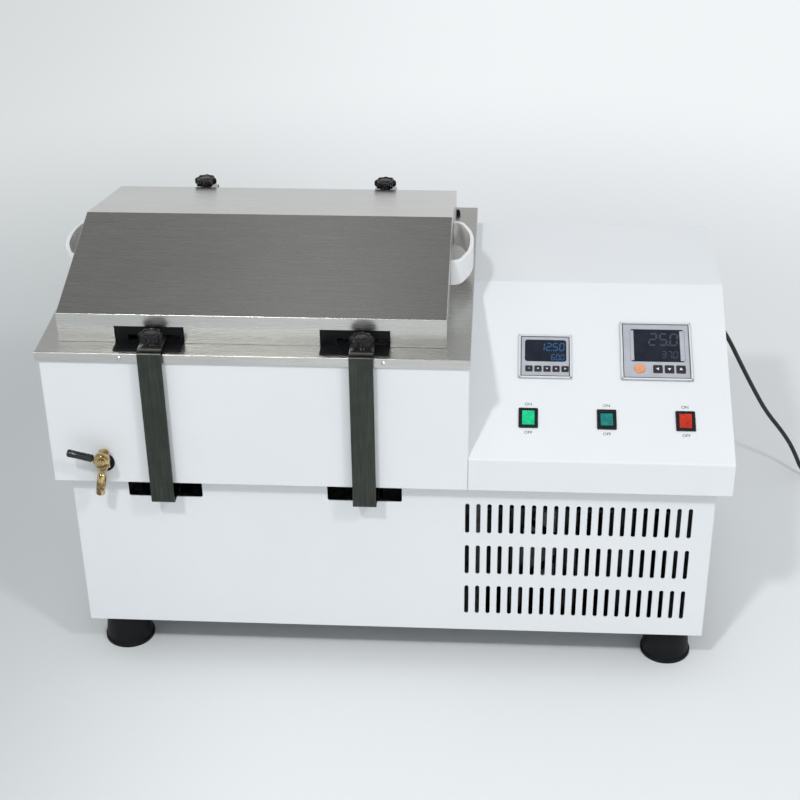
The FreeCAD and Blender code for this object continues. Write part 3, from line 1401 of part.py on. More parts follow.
def make_thermostat():
    body = meter_body("temperature_meter", s.thermo_size, s.thermo_tall)
    cut_window(body, s.thermo_window_left, s.thermo_window_up, s.thermo_window_width, s.thermo_window_tall,
               s.thermo_tall)
    gap, base = s.key_gap, key_hole(body, s.thermo_tall)
    hole = pocket(body, "XY", rectangle(s.thermo_key_left - gap, s.thermo_key_up - gap,
                                        s.thermo_key_left + s.thermo_key_width + gap,
                                        s.thermo_key_up + s.thermo_key_tall + gap, s.key_corner + gap),
                  base, s.meter_deep)
    repeat(body, hole, "X", s.thermo_key_pitch, THERMO_KEYS)
    pocket_ring(body, "XY", s.menu_key_x, s.menu_key_up, s.menu_key_radius + gap, base, s.meter_deep)
    piece("temperature_meter", on_slope(body, thermo_left, s.thermo_up, 0))
    proud = s.thermo_tall - s.meter_rebate_deep - s.key_deep
    for i in range(THERMO_KEYS):
        key = new_body(f"temperature_key_{i + 1}")
        pad(key, "XY", rectangle(0, 0, s.thermo_key_width, s.thermo_key_tall, s.key_corner), 0,
            s.key_deep + s.key_proud)
        piece(f"temperature_key_{i + 1}",
              on_slope(key, thermo_left + s.thermo_key_left + i * s.thermo_key_pitch,
                       s.thermo_up + s.thermo_key_up, proud))
    menu = new_body("menu_key")
    pad_ring(menu, "XY", 0, 0, s.menu_key_radius, 0, s.key_deep + s.key_proud)
    piece("menu_key", on_slope(menu, thermo_left + s.menu_key_x, s.thermo_up + s.menu_key_up, proud))


def make_windows():
    """The two dark display windows, seated in their meters."""
    panes = []
    rows = (("timer_pane", timer_left + s.timer_window_left, s.timer_up + s.timer_window_up,
             s.timer_window_width, s.timer_window_tall, s.timer_tall),
            ("thermo_pane", thermo_left + s.thermo_window_left, s.thermo_up + s.thermo_window_up,
             s.thermo_window_width, s.thermo_window_tall, s.thermo_tall))
    for name, left, up, width, high, tall in rows:
        pane = new_body(name)
        pad(pane, "XY", rectangle(0, 0, width, high, s.window_corner), 0, s.window_sheet)
        panes.append(on_slope(pane, left, up, tall - s.meter_rebate_deep - s.window_sunk - s.window_sheet))
    piece("display_windows", grouped("display_windows", panes))


def make_switches():
    """Three rocker switches: their frames clip into the panel and each rocker tilts on its pivot."""
    frames = []
    width, tall = s.switch_width, s.switch_tall
    inset = s.switch_body_inset
    window_width = s.rocker_width + 2 * s.rocker_side_gap
    window_tall = s.rocker_tall + 2 * s.rocker_end_gap
    for i, pressed in enumerate(ROCKERS_PRESSED):
        across = switch_across(i)
        frame = new_body(f"switch_frame_{i + 1}")
        pad(frame, "XY", middle_rectangle(0, 0, width, tall, 1.5), 0, s.switch_flange)
        pad(frame, "XY", middle_rectangle(0, 0, width - 2 * inset, tall - 2 * inset),
            -s.switch_deep, s.switch_deep + s.switch_flange / 2)
        pocket(frame, "XY", middle_rectangle(0, 0, window_width, window_tall),
               inset - s.switch_deep, s.switch_deep + s.switch_flange)
        frames.append(on_slope(frame, across, s.switch_up, 0))
        make_rocker(i + 1, across, pressed)
    piece("switch_frames", grouped("switch_frames", frames))


def make_rocker(number, across, pressed):
    body = new_body(f"rocker_{number}")
    half, proud, deep = s.rocker_tall / 2, s.rocker_proud, s.rocker_deep
    profile = [(-half, -1), (-half * 0.6, -deep), (half * 0.6, -deep), (half, -1), (half, proud),
               (0, s.rocker_waist), (-half, proud)]
    pad(body, "YZ", profile, -s.rocker_width / 2, s.rocker_width)
    on_slope(body, across, s.switch_up, s.switch_flange - s.rocker_pivot_sunk)
    tilt(body, FreeCAD.Vector(1, 0, 0), s.panel_angle + pressed * s.rocker_tilt)
    piece(f"rocker_{number}", body)


def make_deck_screws():
    """Round-headed screws in the deck's skirt, front and back."""
    heads = []
    level = deck_top - s.deck_skirt / 2
    for name, offset in (("left", s.skirt_screw_left), ("right", s.skirt_screw_right)):
        for end, sign in side_signs.items():
            head = new_body(f"skirt_screw_{end}_{name}")
            tall, radius = s.screw_head_tall, s.screw_head_radius
            profile = [(0, 0), (radius, 0), (radius, tall * 0.4), (radius * 0.6, tall), (0, tall)]
            revolve(head, "XZ", profile, "Z")
            turn = 90 if sign < 0 else -90
            head.Placement = FreeCAD.Placement(FreeCAD.Vector(), FreeCAD.Rotation(FreeCAD.Vector(1, 0, 0), turn))
            heads.append(place(head, deck_left + offset, sign * -deck_front, level))
    piece("deck_screws", grouped("deck_screws", heads))


def make_sensor_gland():
    body = new_body("sensor_gland")
    radius, tall = s.sensor_gland_radius, s.sensor_gland_tall
    profile = [(0, 0), (radius, 0), (radius, tall * 0.5), (radius * 0.75, tall * 0.85), (radius * 0.55, tall),
               (0, tall)]
    revolve(body, "XZ", profile, "Z")
    piece("sensor_gland", place(body, deck_right - s.sensor_gland_right, -deck_front - s.sensor_gland_back,
                                deck_top))


def make_cord():
    """The gland in the rear wall, the free lead, its stored coil on the floor and the plug."""
    x, z = cord_exit_x, cord_exit_z
    parts = [
        cylinder("gland_tail", (x, upper_back - s.panel_sheet * 3, z), s.gland_relief_radius,
                 s.panel_sheet * 3, "Y"),
        cylinder("gland_nut", (x, upper_back, z), s.gland_nut_radius, s.gland_nut_long, "Y"),
        cone("gland_relief", (x, upper_back + s.gland_nut_long, z), s.gland_relief_radius,
             s.cord_radius * 1.3, s.gland_relief_long, "Y"),
    ]
    piece("cord_gland", joined("cord_gland", parts))
    lead = doc.addObject("Part::Feature", "power_cord")
    route = [(upper_right.number + out, upper_back.number + back, up) for out, back, up in CORD_ROUTE]
    path, radii = bent_path(route, lambda run, half_turn: 0.45 * run / math.tan(half_turn))
    set_shape(lead, sweep_round(path, s.cord_radius.number))
    expected = math.pi * s.cord_radius.number ** 2 * path.Length
    print("cord radii", [round(radius) for radius in radii], "length", round(path.Length),
          "volume ratio", round(lead.Shape.Volume / expected, 4))
    piece("power_cord", lead)
    band = 2 * s.cord_radius
    tall = s.coil_layers * band
    coil_x, coil_y = upper_right + s.coil_out, upper_back - s.coil_forward
    outer = cylinder("coil_outer", (coil_x, coil_y, 0), s.coil_mean_radius + band, tall)
    inner = cylinder("coil_inner", (coil_x, coil_y, -band), s.coil_mean_radius - band, tall + 2 * band)
    piece("cord_coil", without("cord_coil", outer, [inner]))
    make_plug(coil_x + s.coil_mean_radius, coil_y - 3 * band - 1)


def make_plug(x, y):
    """A moulded two-pin plug on a short tail that leaves the coil towards the front."""
    relief_end = s.plug_tail + s.plug_long * 0.45
    plug_end = s.plug_tail + s.plug_long
    parts = [
        cylinder("plug_tail", (0, 0, 0), s.cord_radius, s.plug_tail + 2, "Y"),
        cone("plug_relief", (0, s.plug_tail, 0), s.cord_radius * 1.3, s.plug_thick / 2 - 3,
             s.plug_long * 0.45, "Y"),
        cylinder("plug_handle", (0, relief_end, 0), s.plug_thick / 2, s.plug_long * 0.55, "Y"),
        cylinder("plug_face", (0, plug_end - 8, 0), s.plug_width / 2, 8, "Y"),
    ]
    for sign in (-1, 1):
        parts.append(cylinder(f"plug_pin_{sign + 1}", (sign * s.plug_pin_pitch / 2, plug_end, 0),
                              s.plug_pin_radius, s.plug_pin_long, "Y"))
    plug = joined("power_plug", parts)
    plug.Placement = FreeCAD.Placement(FreeCAD.Vector(), FreeCAD.Rotation(FreeCAD.Vector(0, 0, 1), 180))
    place(plug, x, y, s.plug_width / 2)
    piece("power_plug", plug)


def make_all():
    make_feet()
    make_base_pan()
    make_cabinet_shell()
    make_rear_panel()
    make_shelf()
    make_bath_casing()
    make_control_housing()
    make_deck()
    make_tank()
    make_insulation()
    make_tubes()
    make_lid()
    make_lid_handle("left", lid_left, -1)
    make_lid_handle("right", lid_right, 1)
    for side, x in arm_places.items():
        for end in side_signs:
            make_arm(side, x, end)
            make_knob(side, x, end)
    make_tray()
    make_arm_guards()
    make_carriage()
    make_rails()
    make_drive_motor()
    make_crank()
    make_connecting_rod()
    make_condenser()
    make_fan()
    make_compressor()
    make_tap()
    make_timer()
    make_thermostat()
    make_windows()
    make_switches()
    make_deck_screws()
    make_sensor_gland()
    make_cord()


def check_and_write():
    """Stop at the first failed object, then write each sub-part's shape."""
    doc.recompute()
    for item in doc.Objects:
        if "Invalid" in item.State or "Error" in item.State:
            raise RuntimeError(f"{item.Label} failed: {item.State}")
    os.makedirs("parts", exist_ok=True)
    for label, item in pieces.items():
        if item.Shape.isNull() or not item.Shape.isValid():
            raise RuntimeError(f"{label} has no valid shape")
        item.Shape.exportStep(f"parts/{label}.step")
    print(len(pieces), "pieces written")


make_all()
check_and_write()
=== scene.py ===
import math

import bmesh
import bpy
from mathutils import Matrix, Vector


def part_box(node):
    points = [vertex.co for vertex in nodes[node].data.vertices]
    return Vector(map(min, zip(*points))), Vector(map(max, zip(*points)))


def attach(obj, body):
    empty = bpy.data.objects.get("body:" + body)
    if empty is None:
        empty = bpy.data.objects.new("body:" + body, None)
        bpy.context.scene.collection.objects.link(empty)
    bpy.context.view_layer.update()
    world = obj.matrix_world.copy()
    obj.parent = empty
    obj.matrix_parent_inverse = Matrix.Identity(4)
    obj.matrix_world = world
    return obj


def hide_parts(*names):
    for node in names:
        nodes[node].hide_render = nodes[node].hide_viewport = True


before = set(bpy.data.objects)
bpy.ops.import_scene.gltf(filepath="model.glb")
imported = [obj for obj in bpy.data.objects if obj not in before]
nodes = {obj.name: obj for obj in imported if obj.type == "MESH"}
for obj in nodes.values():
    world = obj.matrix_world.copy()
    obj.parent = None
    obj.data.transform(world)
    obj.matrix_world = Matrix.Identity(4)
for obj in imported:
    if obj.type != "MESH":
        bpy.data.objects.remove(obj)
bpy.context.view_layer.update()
print("frame loaded:", len(nodes), "nodes")

mm = 0.001
fullTurn = 2 * math.pi
weldDistance = 0.00001  # corners nearer than this are one, in the mesh's own unit


# ---- camera, floor and lights

cameraLook = {
    "place": (0.1356, -2.0274, 1.5020),
    # in degrees: to the left, below level, and round its own axis
    "turn": 3.834,
    "down": 30.617,
    "roll": -0.75,
    "lens": 73.63,
    "sensor": 36,
    "farthest": 60,
}


def addCamera():
    look = cameraLook
    camera = bpy.data.objects.new("photoCamera", bpy.data.cameras.new("photoCamera"))
    camera.data.lens = look["lens"]
    camera.data.sensor_width = look["sensor"]
    camera.data.clip_end = look["farthest"]
    camera.matrix_world = (
        Matrix.Translation(look["place"])
        @ Matrix.Rotation(math.radians(look["turn"]), 4, "Z")
        @ Matrix.Rotation(math.radians(90 - look["down"]), 4, "X")
        @ Matrix.Rotation(math.radians(look["roll"]), 4, "Z")
    )
    bpy.context.collection.objects.link(camera)
    bpy.context.scene.camera = camera


def addNode(tree, kind, values=None, **settings):
    node = tree.nodes.new(kind)
    for key, value in settings.items():
        setattr(node, key, value)
    for socket, value in (values or {}).items():
        if isinstance(value, bpy.types.NodeSocket):
            tree.links.new(value, node.inputs[socket])
        else:
            node.inputs[socket].default_value = value
    return node


def addRamp(tree, factor, stops):
    # stops are (place, colour), in order
    ramp = addNode(tree, "ShaderNodeValToRGB", {"Fac": factor})
    points = ramp.color_ramp.elements
    while len(points) < len(stops):
        points.new(0.5)
    for point, (place, colour) in zip(points, stops):
        point.position = place
        point.color = (*colour, 1.0)
    return ramp.outputs["Color"]


def addMath(tree, operation, *values):
    return addNode(tree, "ShaderNodeMath", dict(enumerate(values)), operation=operation).outputs[0]


def addRange(tree, value, fromSpan=(0.0, 1.0), toSpan=(0.0, 1.0), eased=False):
    # maps one span to another, and stays inside it
    return addNode(tree, "ShaderNodeMapRange", {
        "Value": value, "From Min": fromSpan[0], "From Max": fromSpan[1],
        "To Min": toSpan[0], "To Max": toSpan[1],
    }, interpolation_type="SMOOTHSTEP" if eased else "LINEAR").outputs["Result"]


def addMix(tree, share, under, over):
    return addNode(tree, "ShaderNodeMix", {0: share, 6: under, 7: over}, data_type="RGBA").outputs[2]


def seenRays(tree):
    # 1 for what the camera sees, straight, mirrored or through glass, and 0 for soft light
    path = addNode(tree, "ShaderNodeLightPath").outputs
    seen = addMath(tree, "MAXIMUM", path["Is Camera Ray"], path["Is Glossy Ray"])
    return addMath(tree, "MAXIMUM", seen, path["Is Transmission Ray"])


lightLook = {
    "skyLevel": 0.69,  # what diffuse surfaces get from all round
    "skyColour": (0.97, 0.985, 1.0),
    # what a mirror sees from straight below to straight above
    "mirrorStops": ((0.0, 0.80), (0.5, 0.92), (0.60, 0.82), (0.74, 0.54), (0.86, 0.17), (1.0, 0.13)),
    "mirrorTint": (0.98, 0.99, 1.0),
    # a soft bright strip overhead: middle and half width as the X of a direction, and its tone
    "strip": (-0.105, 0.05, 0.95),
    "stripRise": (0.70, 0.80),  # the strip comes in over this range of a direction's Z
    "lampAim": (0, 0, 0.3),
    "lamps": (
        # name, place, size, watts
        ("keyLamp", (-0.75, -2.20, 2.95), 0.24, 37),
        ("fillLamp", (1.75, -1.90, 2.80), 0.4, 26),
    ),
}


def addWorld():
    look = lightLook
    world = bpy.data.worlds.new("studioRoom")
    bpy.context.scene.world = world
    world.use_nodes = True
    tree = world.node_tree
    tree.nodes.clear()
    direction = addNode(tree, "ShaderNodeTexCoord").outputs["Generated"]
    parts = addNode(tree, "ShaderNodeSeparateXYZ", {"Vector": direction}).outputs
    level = addRange(tree, parts["Z"], (-1.0, 1.0))
    stops = [(place, [tone * part for part in look["mirrorTint"]]) for place, tone in look["mirrorStops"]]
    middle, half, bright = look["strip"]
    away = addMath(tree, "ABSOLUTE", addMath(tree, "SUBTRACT", parts["X"], middle))
    strip = addRange(tree, away, (0.0, half), (1.0, 0.0), eased=True)
    amount = addMath(tree, "MULTIPLY", strip, addRange(tree, parts["Z"], look["stripRise"]))
    colour = addMix(tree, amount, addRamp(tree, level, stops), (bright, bright, bright, 1.0))
    seen = addNode(tree, "ShaderNodeBackground", {"Color": colour, "Strength": 1.0})
    soft = addNode(tree, "ShaderNodeBackground",
                   {"Color": (*look["skyColour"], 1.0), "Strength": look["skyLevel"]})
    mixed = addNode(tree, "ShaderNodeMixShader", {0: seenRays(tree), 1: soft.outputs[0], 2: seen.outputs[0]})
    addNode(tree, "ShaderNodeOutputWorld", {"Surface": mixed.outputs[0]})


def addLamps():
    for name, place, size, watts in lightLook["lamps"]:
        lamp = bpy.data.lights.new(name, "AREA")
        lamp.shape = "DISK"
        lamp.size = size
        lamp.energy = watts
        lampObject = bpy.data.objects.new(name, lamp)
        aim = (Vector(lightLook["lampAim"]) - Vector(place)).to_track_quat("-Z", "Y")
        lampObject.matrix_world = Matrix.Translation(place) @ aim.to_matrix().to_4x4()
        bpy.context.collection.objects.link(lampObject)


floorLook = {
    "radius": 16.0,
    "segments": 96,
    "roughness": 0.6,
    "specular": 0.2,
    # tones: left, right, and the range of X over which one becomes the other; the darker left tones are
    # painted shade
    "near": ((0.55, 0.58, 0.585), (0.775, 0.80, 0.81), (-0.75, -0.1)),
    "far": ((0.67, 0.70, 0.71), (0.88, 0.91, 0.925), (-1.6, 0.2)),
    "farSpan": (0.8, 2.2),  # the distances over which the near tones become the far ones
}


# a ramp from the darker left tone to the right one: painted shade across the floor
def floorShadeRamp(tree, across, tones):
    left, right, span = tones
    return addRamp(tree, addRange(tree, across, span, eased=True), ((0.0, left), (1.0, right)))


def addFloor():
    look = floorLook
    bm = bmesh.new()
    bmesh.ops.create_circle(bm, cap_ends=True, segments=look["segments"], radius=look["radius"])
    mesh = bpy.data.meshes.new("studioFloor")
    bm.to_mesh(mesh)
    bm.free()
    floor = bpy.data.objects.new("studioFloor", mesh)
    bpy.context.collection.objects.link(floor)
    finish = bpy.data.materials.new("paleFloor")
    finish.use_nodes = True
    tree = finish.node_tree
    shader = tree.nodes["Principled BSDF"]
    place = addNode(tree, "ShaderNodeTexCoord").outputs["Object"]
    across = addNode(tree, "ShaderNodeSeparateXYZ", {"Vector": place}).outputs["X"]
    tree.links.new(floorShadeRamp(tree, across, look["near"]), shader.inputs["Base Color"])
    shader.inputs["Roughness"].default_value = look["roughness"]
    shader.inputs["Specular IOR Level"].default_value = look["specular"]
    # away from the object the floor is a pale backdrop, for the camera and for mirrors, with the same painted
    # shade on its left
    farTone = floorShadeRamp(tree, across, look["far"])
    backdrop = addNode(tree, "ShaderNodeEmission", {"Color": farTone, "Strength": 1.0})
    distance = addNode(tree, "ShaderNodeVectorMath", {0: place}, operation="LENGTH").outputs["Value"]
    amount = addMath(tree, "MULTIPLY", addRange(tree, distance, look["farSpan"], eased=True), seenRays(tree))
    mixed = addNode(tree, "ShaderNodeMixShader", {0: amount, 1: shader.outputs[0], 2: backdrop.outputs[0]})
    tree.links.new(mixed.outputs[0], tree.nodes["Material Output"].inputs["Surface"])
    mesh.materials.append(finish)


bpy.context.scene.view_settings.view_transform = "Standard"
addCamera()
addWorld()
addLamps()
addFloor()
print("camera, floor and lights are in")


# ---- finishes: colours are linear, sizes are in metres

plainLayer = {
    # what a layer has where its look says nothing else
    "stretch": (1, 1, 1),
    "detail": 3.0,
    "grain": 0.55,
    "span": (0.3, 0.7),
    "strength": 0.5,
}


def addPattern(tree, place, look):
    # one noise field from 0 to 1: scale is in features per metre
    layer = {**plainLayer, **look}
    scale = [layer["scale"] * part for part in layer["stretch"]]
    mapping = addNode(tree, "ShaderNodeMapping", {"Vector": place, "Scale": scale})
    noise = addNode(tree, "ShaderNodeTexNoise", {
        "Vector": mapping.outputs["Vector"], "Scale": 1.0, "Detail": layer["detail"],
        "Roughness": layer["grain"]})
    return addRange(tree, noise.outputs["Fac"], layer["span"])


def makeFinish(name, look):
    finish = bpy.data.materials.new(name)
    finish.use_nodes = True
    tree = finish.node_tree
    shader = tree.nodes["Principled BSDF"]
    place = addNode(tree, "ShaderNodeTexCoord").outputs["Object"]
    # the first layer sets the colour, a second one lays a third tone over it
    first, *others = look["tones"]
    colour = addRamp(tree, addPattern(tree, place, first), ((0.0, first["dark"]), (1.0, first["light"])))
    for layer in others:
        amount = addMath(tree, "MULTIPLY", addPattern(tree, place, layer), layer["amount"])
        colour = addMix(tree, amount, colour, (*layer["over"], 1.0))
    tree.links.new(colour, shader.inputs["Base Color"])
    gloss = look["roughness"]
    rough = addRange(tree, addPattern(tree, place, gloss), toSpan=(gloss["low"], gloss["high"]))
    tree.links.new(rough, shader.inputs["Roughness"])
    normal = None
    for layer in look.get("bumps", ()):
        strength = layer.get("strength", plainLayer["strength"])
        values = {"Height": addPattern(tree, place, layer), "Strength": strength, "Distance": layer["deep"]}
        if normal is not None:
            values["Normal"] = normal
        normal = addNode(tree, "ShaderNodeBump", values).outputs["Normal"]
    if normal is not None:
        tree.links.new(normal, shader.inputs["Normal"])
    for socket, value in look.get("sockets", {}).items():
        shader.inputs[socket].default_value = value
    return finish


# stretches of a pattern, for brushed lines that run along one axis
alongX = (0.012, 1.0, 1.0)
alongZ = (1.0, 1.0, 0.02)

finishLooks = {
    "whitePaint": {
        "tones": ({"scale": 3, "dark": (0.735, 0.765, 0.79), "light": (0.775, 0.80, 0.82)},
                  {"scale": 260, "over": (0.69, 0.72, 0.75), "amount": 0.18, "span": (0.55, 0.75)}),
        "roughness": {"scale": 30, "low": 0.32, "high": 0.42},
        "bumps": ({"scale": 520, "deep": 0.00012, "strength": 0.35},),
        "sockets": {"Coat Weight": 0.12, "Coat Roughness": 0.2},
    },
    "stainless": {
        "tones": ({"scale": 1300, "stretch": alongX, "detail": 4.0, "dark": (0.55, 0.55, 0.53),
                   "light": (0.66, 0.66, 0.64)},
                  {"scale": 6, "over": (0.50, 0.49, 0.46), "amount": 0.35}),
        "roughness": {"scale": 1100, "stretch": alongX, "low": 0.24, "high": 0.34},
        "bumps": ({"scale": 1600, "stretch": alongX, "deep": 0.00003, "strength": 0.35},
                  {"scale": 5, "deep": 0.0025, "strength": 0.08}),
        "sockets": {"Metallic": 1.0},
    },
    "strapSteel": {
        "tones": ({"scale": 800, "stretch": alongZ, "dark": (0.046, 0.052, 0.045),
                   "light": (0.082, 0.088, 0.078)},
                  {"scale": 40, "over": (0.035, 0.037, 0.033), "amount": 0.4}),
        "roughness": {"scale": 600, "stretch": alongZ, "low": 0.26, "high": 0.40},
        "bumps": ({"scale": 1200, "stretch": alongZ, "deep": 0.00004, "strength": 0.5},),
        "sockets": {"Metallic": 1.0},
    },
    "brightSteel": {
        "tones": ({"scale": 500, "stretch": alongX, "dark": (0.52, 0.52, 0.51),
                   "light": (0.66, 0.66, 0.65)},),
        "roughness": {"scale": 200, "low": 0.16, "high": 0.30},
        "bumps": ({"scale": 900, "deep": 0.00002},),
        "sockets": {"Metallic": 1.0},
    },
    "greyZinc": {
        "tones": ({"scale": 70, "detail": 1.0, "dark": (0.36, 0.38, 0.39), "light": (0.50, 0.52, 0.53)},),
        "roughness": {"scale": 50, "low": 0.34, "high": 0.5},
        "bumps": ({"scale": 300, "deep": 0.00004},),
        "sockets": {"Metallic": 1.0},
    },
    "copperPipe": {
        "tones": ({"scale": 50, "dark": (0.60, 0.26, 0.15), "light": (0.78, 0.40, 0.26)},
                  {"scale": 18, "over": (0.28, 0.14, 0.09), "amount": 0.35}),
        "roughness": {"scale": 90, "low": 0.22, "high": 0.4},
        "bumps": ({"scale": 260, "deep": 0.00005},),
        "sockets": {"Metallic": 1.0},
    },
    "blackRubber": {
        "tones": ({"scale": 60, "dark": (0.004, 0.0045, 0.006), "light": (0.009, 0.010, 0.012)},
                  {"scale": 500, "over": (0.030, 0.030, 0.032), "amount": 0.12, "span": (0.6, 0.8)}),
        "roughness": {"scale": 60, "low": 0.42, "high": 0.58},
        "bumps": ({"scale": 700, "deep": 0.0001, "strength": 0.4},),
        "sockets": {"Specular IOR Level": 0.15},
    },
    "blackPlastic": {
        "tones": ({"scale": 80, "dark": (0.005, 0.005, 0.006), "light": (0.010, 0.010, 0.011)},),
        "roughness": {"scale": 120, "low": 0.14, "high": 0.22},
        "bumps": ({"scale": 500, "deep": 0.00003, "strength": 0.3},),
        "sockets": {"Specular IOR Level": 0.25, "Coat Weight": 0.06, "Coat Roughness": 0.06},
    },
    "cordJacket": {
        "tones": ({"scale": 90, "dark": (0.008, 0.008, 0.009), "light": (0.016, 0.016, 0.017)},),
        "roughness": {"scale": 80, "low": 0.34, "high": 0.46},
        "bumps": ({"scale": 900, "deep": 0.00005, "strength": 0.4},),
    },
    "whitePlastic": {
        "tones": ({"scale": 12, "dark": (0.76, 0.775, 0.78), "light": (0.83, 0.84, 0.845)},),
        "roughness": {"scale": 60, "low": 0.16, "high": 0.26},
        "bumps": ({"scale": 350, "deep": 0.00004, "strength": 0.25},),
        "sockets": {"Coat Weight": 0.25, "Coat Roughness": 0.1, "Subsurface Weight": 0.04},
    },
    "brassFitting": {
        "tones": ({"scale": 90, "dark": (0.42, 0.29, 0.11), "light": (0.78, 0.62, 0.34)},
                  {"scale": 120, "over": (0.07, 0.045, 0.02), "amount": 0.8, "span": (0.46, 0.62)}),
        "roughness": {"scale": 150, "low": 0.06, "high": 0.16},
        "bumps": ({"scale": 500, "deep": 0.00004},),
        "sockets": {"Metallic": 1.0},
    },
    "leverSleeve": {
        "tones": ({"scale": 90, "dark": (0.006, 0.006, 0.007), "light": (0.014, 0.014, 0.015)},),
        "roughness": {"scale": 70, "low": 0.20, "high": 0.34},
        "bumps": ({"scale": 500, "deep": 0.00005, "strength": 0.3},),
    },
    "foam": {
        "tones": ({"scale": 40, "dark": (0.70, 0.66, 0.52), "light": (0.84, 0.80, 0.68)},),
        "roughness": {"scale": 50, "low": 0.8, "high": 0.95},
        "bumps": ({"scale": 260, "deep": 0.0008, "strength": 0.7},),
    },
    "blackPaint": {
        "tones": ({"scale": 30, "dark": (0.012, 0.012, 0.013), "light": (0.024, 0.024, 0.025)},),
        "roughness": {"scale": 60, "low": 0.30, "high": 0.42},
        "bumps": ({"scale": 420, "deep": 0.0001, "strength": 0.4},),
    },
    "coilFins": {
        "tones": ({"scale": 500, "stretch": (1, 1, 0.05), "dark": (0.02, 0.02, 0.021),
                   "light": (0.05, 0.05, 0.052)},),
        "roughness": {"scale": 120, "low": 0.3, "high": 0.5},
        "bumps": ({"scale": 600, "deep": 0.00008},),
        "sockets": {"Metallic": 1.0},
    },
    "meterGrey": {
        "tones": ({"scale": 40, "dark": (0.40, 0.415, 0.46), "light": (0.46, 0.475, 0.52)},),
        "roughness": {"scale": 100, "low": 0.38, "high": 0.5},
        "bumps": ({"scale": 900, "deep": 0.00008, "strength": 0.4},),
    },
    "darkWindow": {
        "tones": ({"scale": 60, "dark": (0.010, 0.014, 0.024), "light": (0.018, 0.024, 0.038)},),
        "roughness": {"scale": 20, "low": 0.06, "high": 0.12},
        "sockets": {"Coat Weight": 0.5, "Coat Roughness": 0.03},
    },
    "switchBlack": {
        "tones": ({"scale": 90, "dark": (0.008, 0.010, 0.012), "light": (0.015, 0.018, 0.021)},),
        "roughness": {"scale": 100, "low": 0.24, "high": 0.34},
        "bumps": ({"scale": 900, "deep": 0.00005, "strength": 0.3},),
    },
    "keyBlack": {
        "tones": ({"scale": 150, "dark": (0.020, 0.022, 0.026), "light": (0.034, 0.036, 0.042)},),
        "roughness": {"scale": 120, "low": 0.4, "high": 0.52},
        "bumps": ({"scale": 1200, "deep": 0.00005, "strength": 0.3},),
    },
    "keyOrange": {
        "tones": ({"scale": 120, "dark": (0.72, 0.27, 0.12), "light": (0.84, 0.36, 0.19)},),
        "roughness": {"scale": 120, "low": 0.34, "high": 0.46},
        "bumps": ({"scale": 1200, "deep": 0.00005, "strength": 0.3},),
        "sockets": {"Subsurface Weight": 0.05},
    },
    "lensGreen": {
        "tones": ({"scale": 160, "dark": (0.004, 0.36, 0.14), "light": (0.015, 0.56, 0.26)},),
        "roughness": {"scale": 120, "low": 0.10, "high": 0.18},
        "sockets": {"Emission Color": (0.01, 0.60, 0.26, 1.0), "Emission Strength": 0.22, "Coat Weight": 0.4},
    },
    # the teal rocker is switched off: its faint glow is painted light on the lens
    "lensTeal": {
        "tones": ({"scale": 160, "dark": (0.006, 0.13, 0.12), "light": (0.02, 0.24, 0.22)},),
        "roughness": {"scale": 120, "low": 0.10, "high": 0.18},
        "sockets": {"Emission Color": (0.01, 0.20, 0.18, 1.0), "Emission Strength": 0.15, "Coat Weight": 0.5},
    },
    "lensRed": {
        "tones": ({"scale": 160, "dark": (0.30, 0.012, 0.008), "light": (0.50, 0.04, 0.02)},),
        "roughness": {"scale": 120, "low": 0.10, "high": 0.18},
        "sockets": {"Emission Color": (0.60, 0.04, 0.015, 1.0), "Emission Strength": 0.18,
                    "Coat Weight": 0.4},
    },
    "blueDigits": {
        "tones": ({"scale": 400, "dark": (0.02, 0.07, 0.17), "light": (0.03, 0.10, 0.23)},),
        "roughness": {"scale": 100, "low": 0.3, "high": 0.4},
        "sockets": {"Emission Color": (0.02, 0.11, 0.34, 1.0), "Emission Strength": 0.25},
    },
    "greyDigits": {
        "tones": ({"scale": 400, "dark": (0.045, 0.052, 0.07), "light": (0.06, 0.07, 0.09)},),
        "roughness": {"scale": 100, "low": 0.3, "high": 0.4},
    },
    "paleFrame": {
        "tones": ({"scale": 60, "dark": (0.60, 0.63, 0.66), "light": (0.68, 0.71, 0.73)},),
        "roughness": {"scale": 100, "low": 0.34, "high": 0.46},
        "bumps": ({"scale": 900, "deep": 0.00004, "strength": 0.3},),
    },
    "whitePrint": {
        "tones": ({"scale": 400, "dark": (0.70, 0.72, 0.73), "light": (0.80, 0.82, 0.83)},),
        "roughness": {"scale": 100, "low": 0.4, "high": 0.5},
    },
    # black print for the switch labels, and painted shade as the meters' dark outlines
    "blackPrintAndShade": {
        "tones": ({"scale": 400, "dark": (0.020, 0.022, 0.026), "light": (0.035, 0.037, 0.042)},),
        "roughness": {"scale": 100, "low": 0.4, "high": 0.5},
    },
}

finishes = {name: makeFinish(name, look) for name, look in finishLooks.items()}

keyNodes = [f"timer_key_{i}" for i in range(1, 6)] + [f"temperature_key_{i}" for i in range(1, 4)]

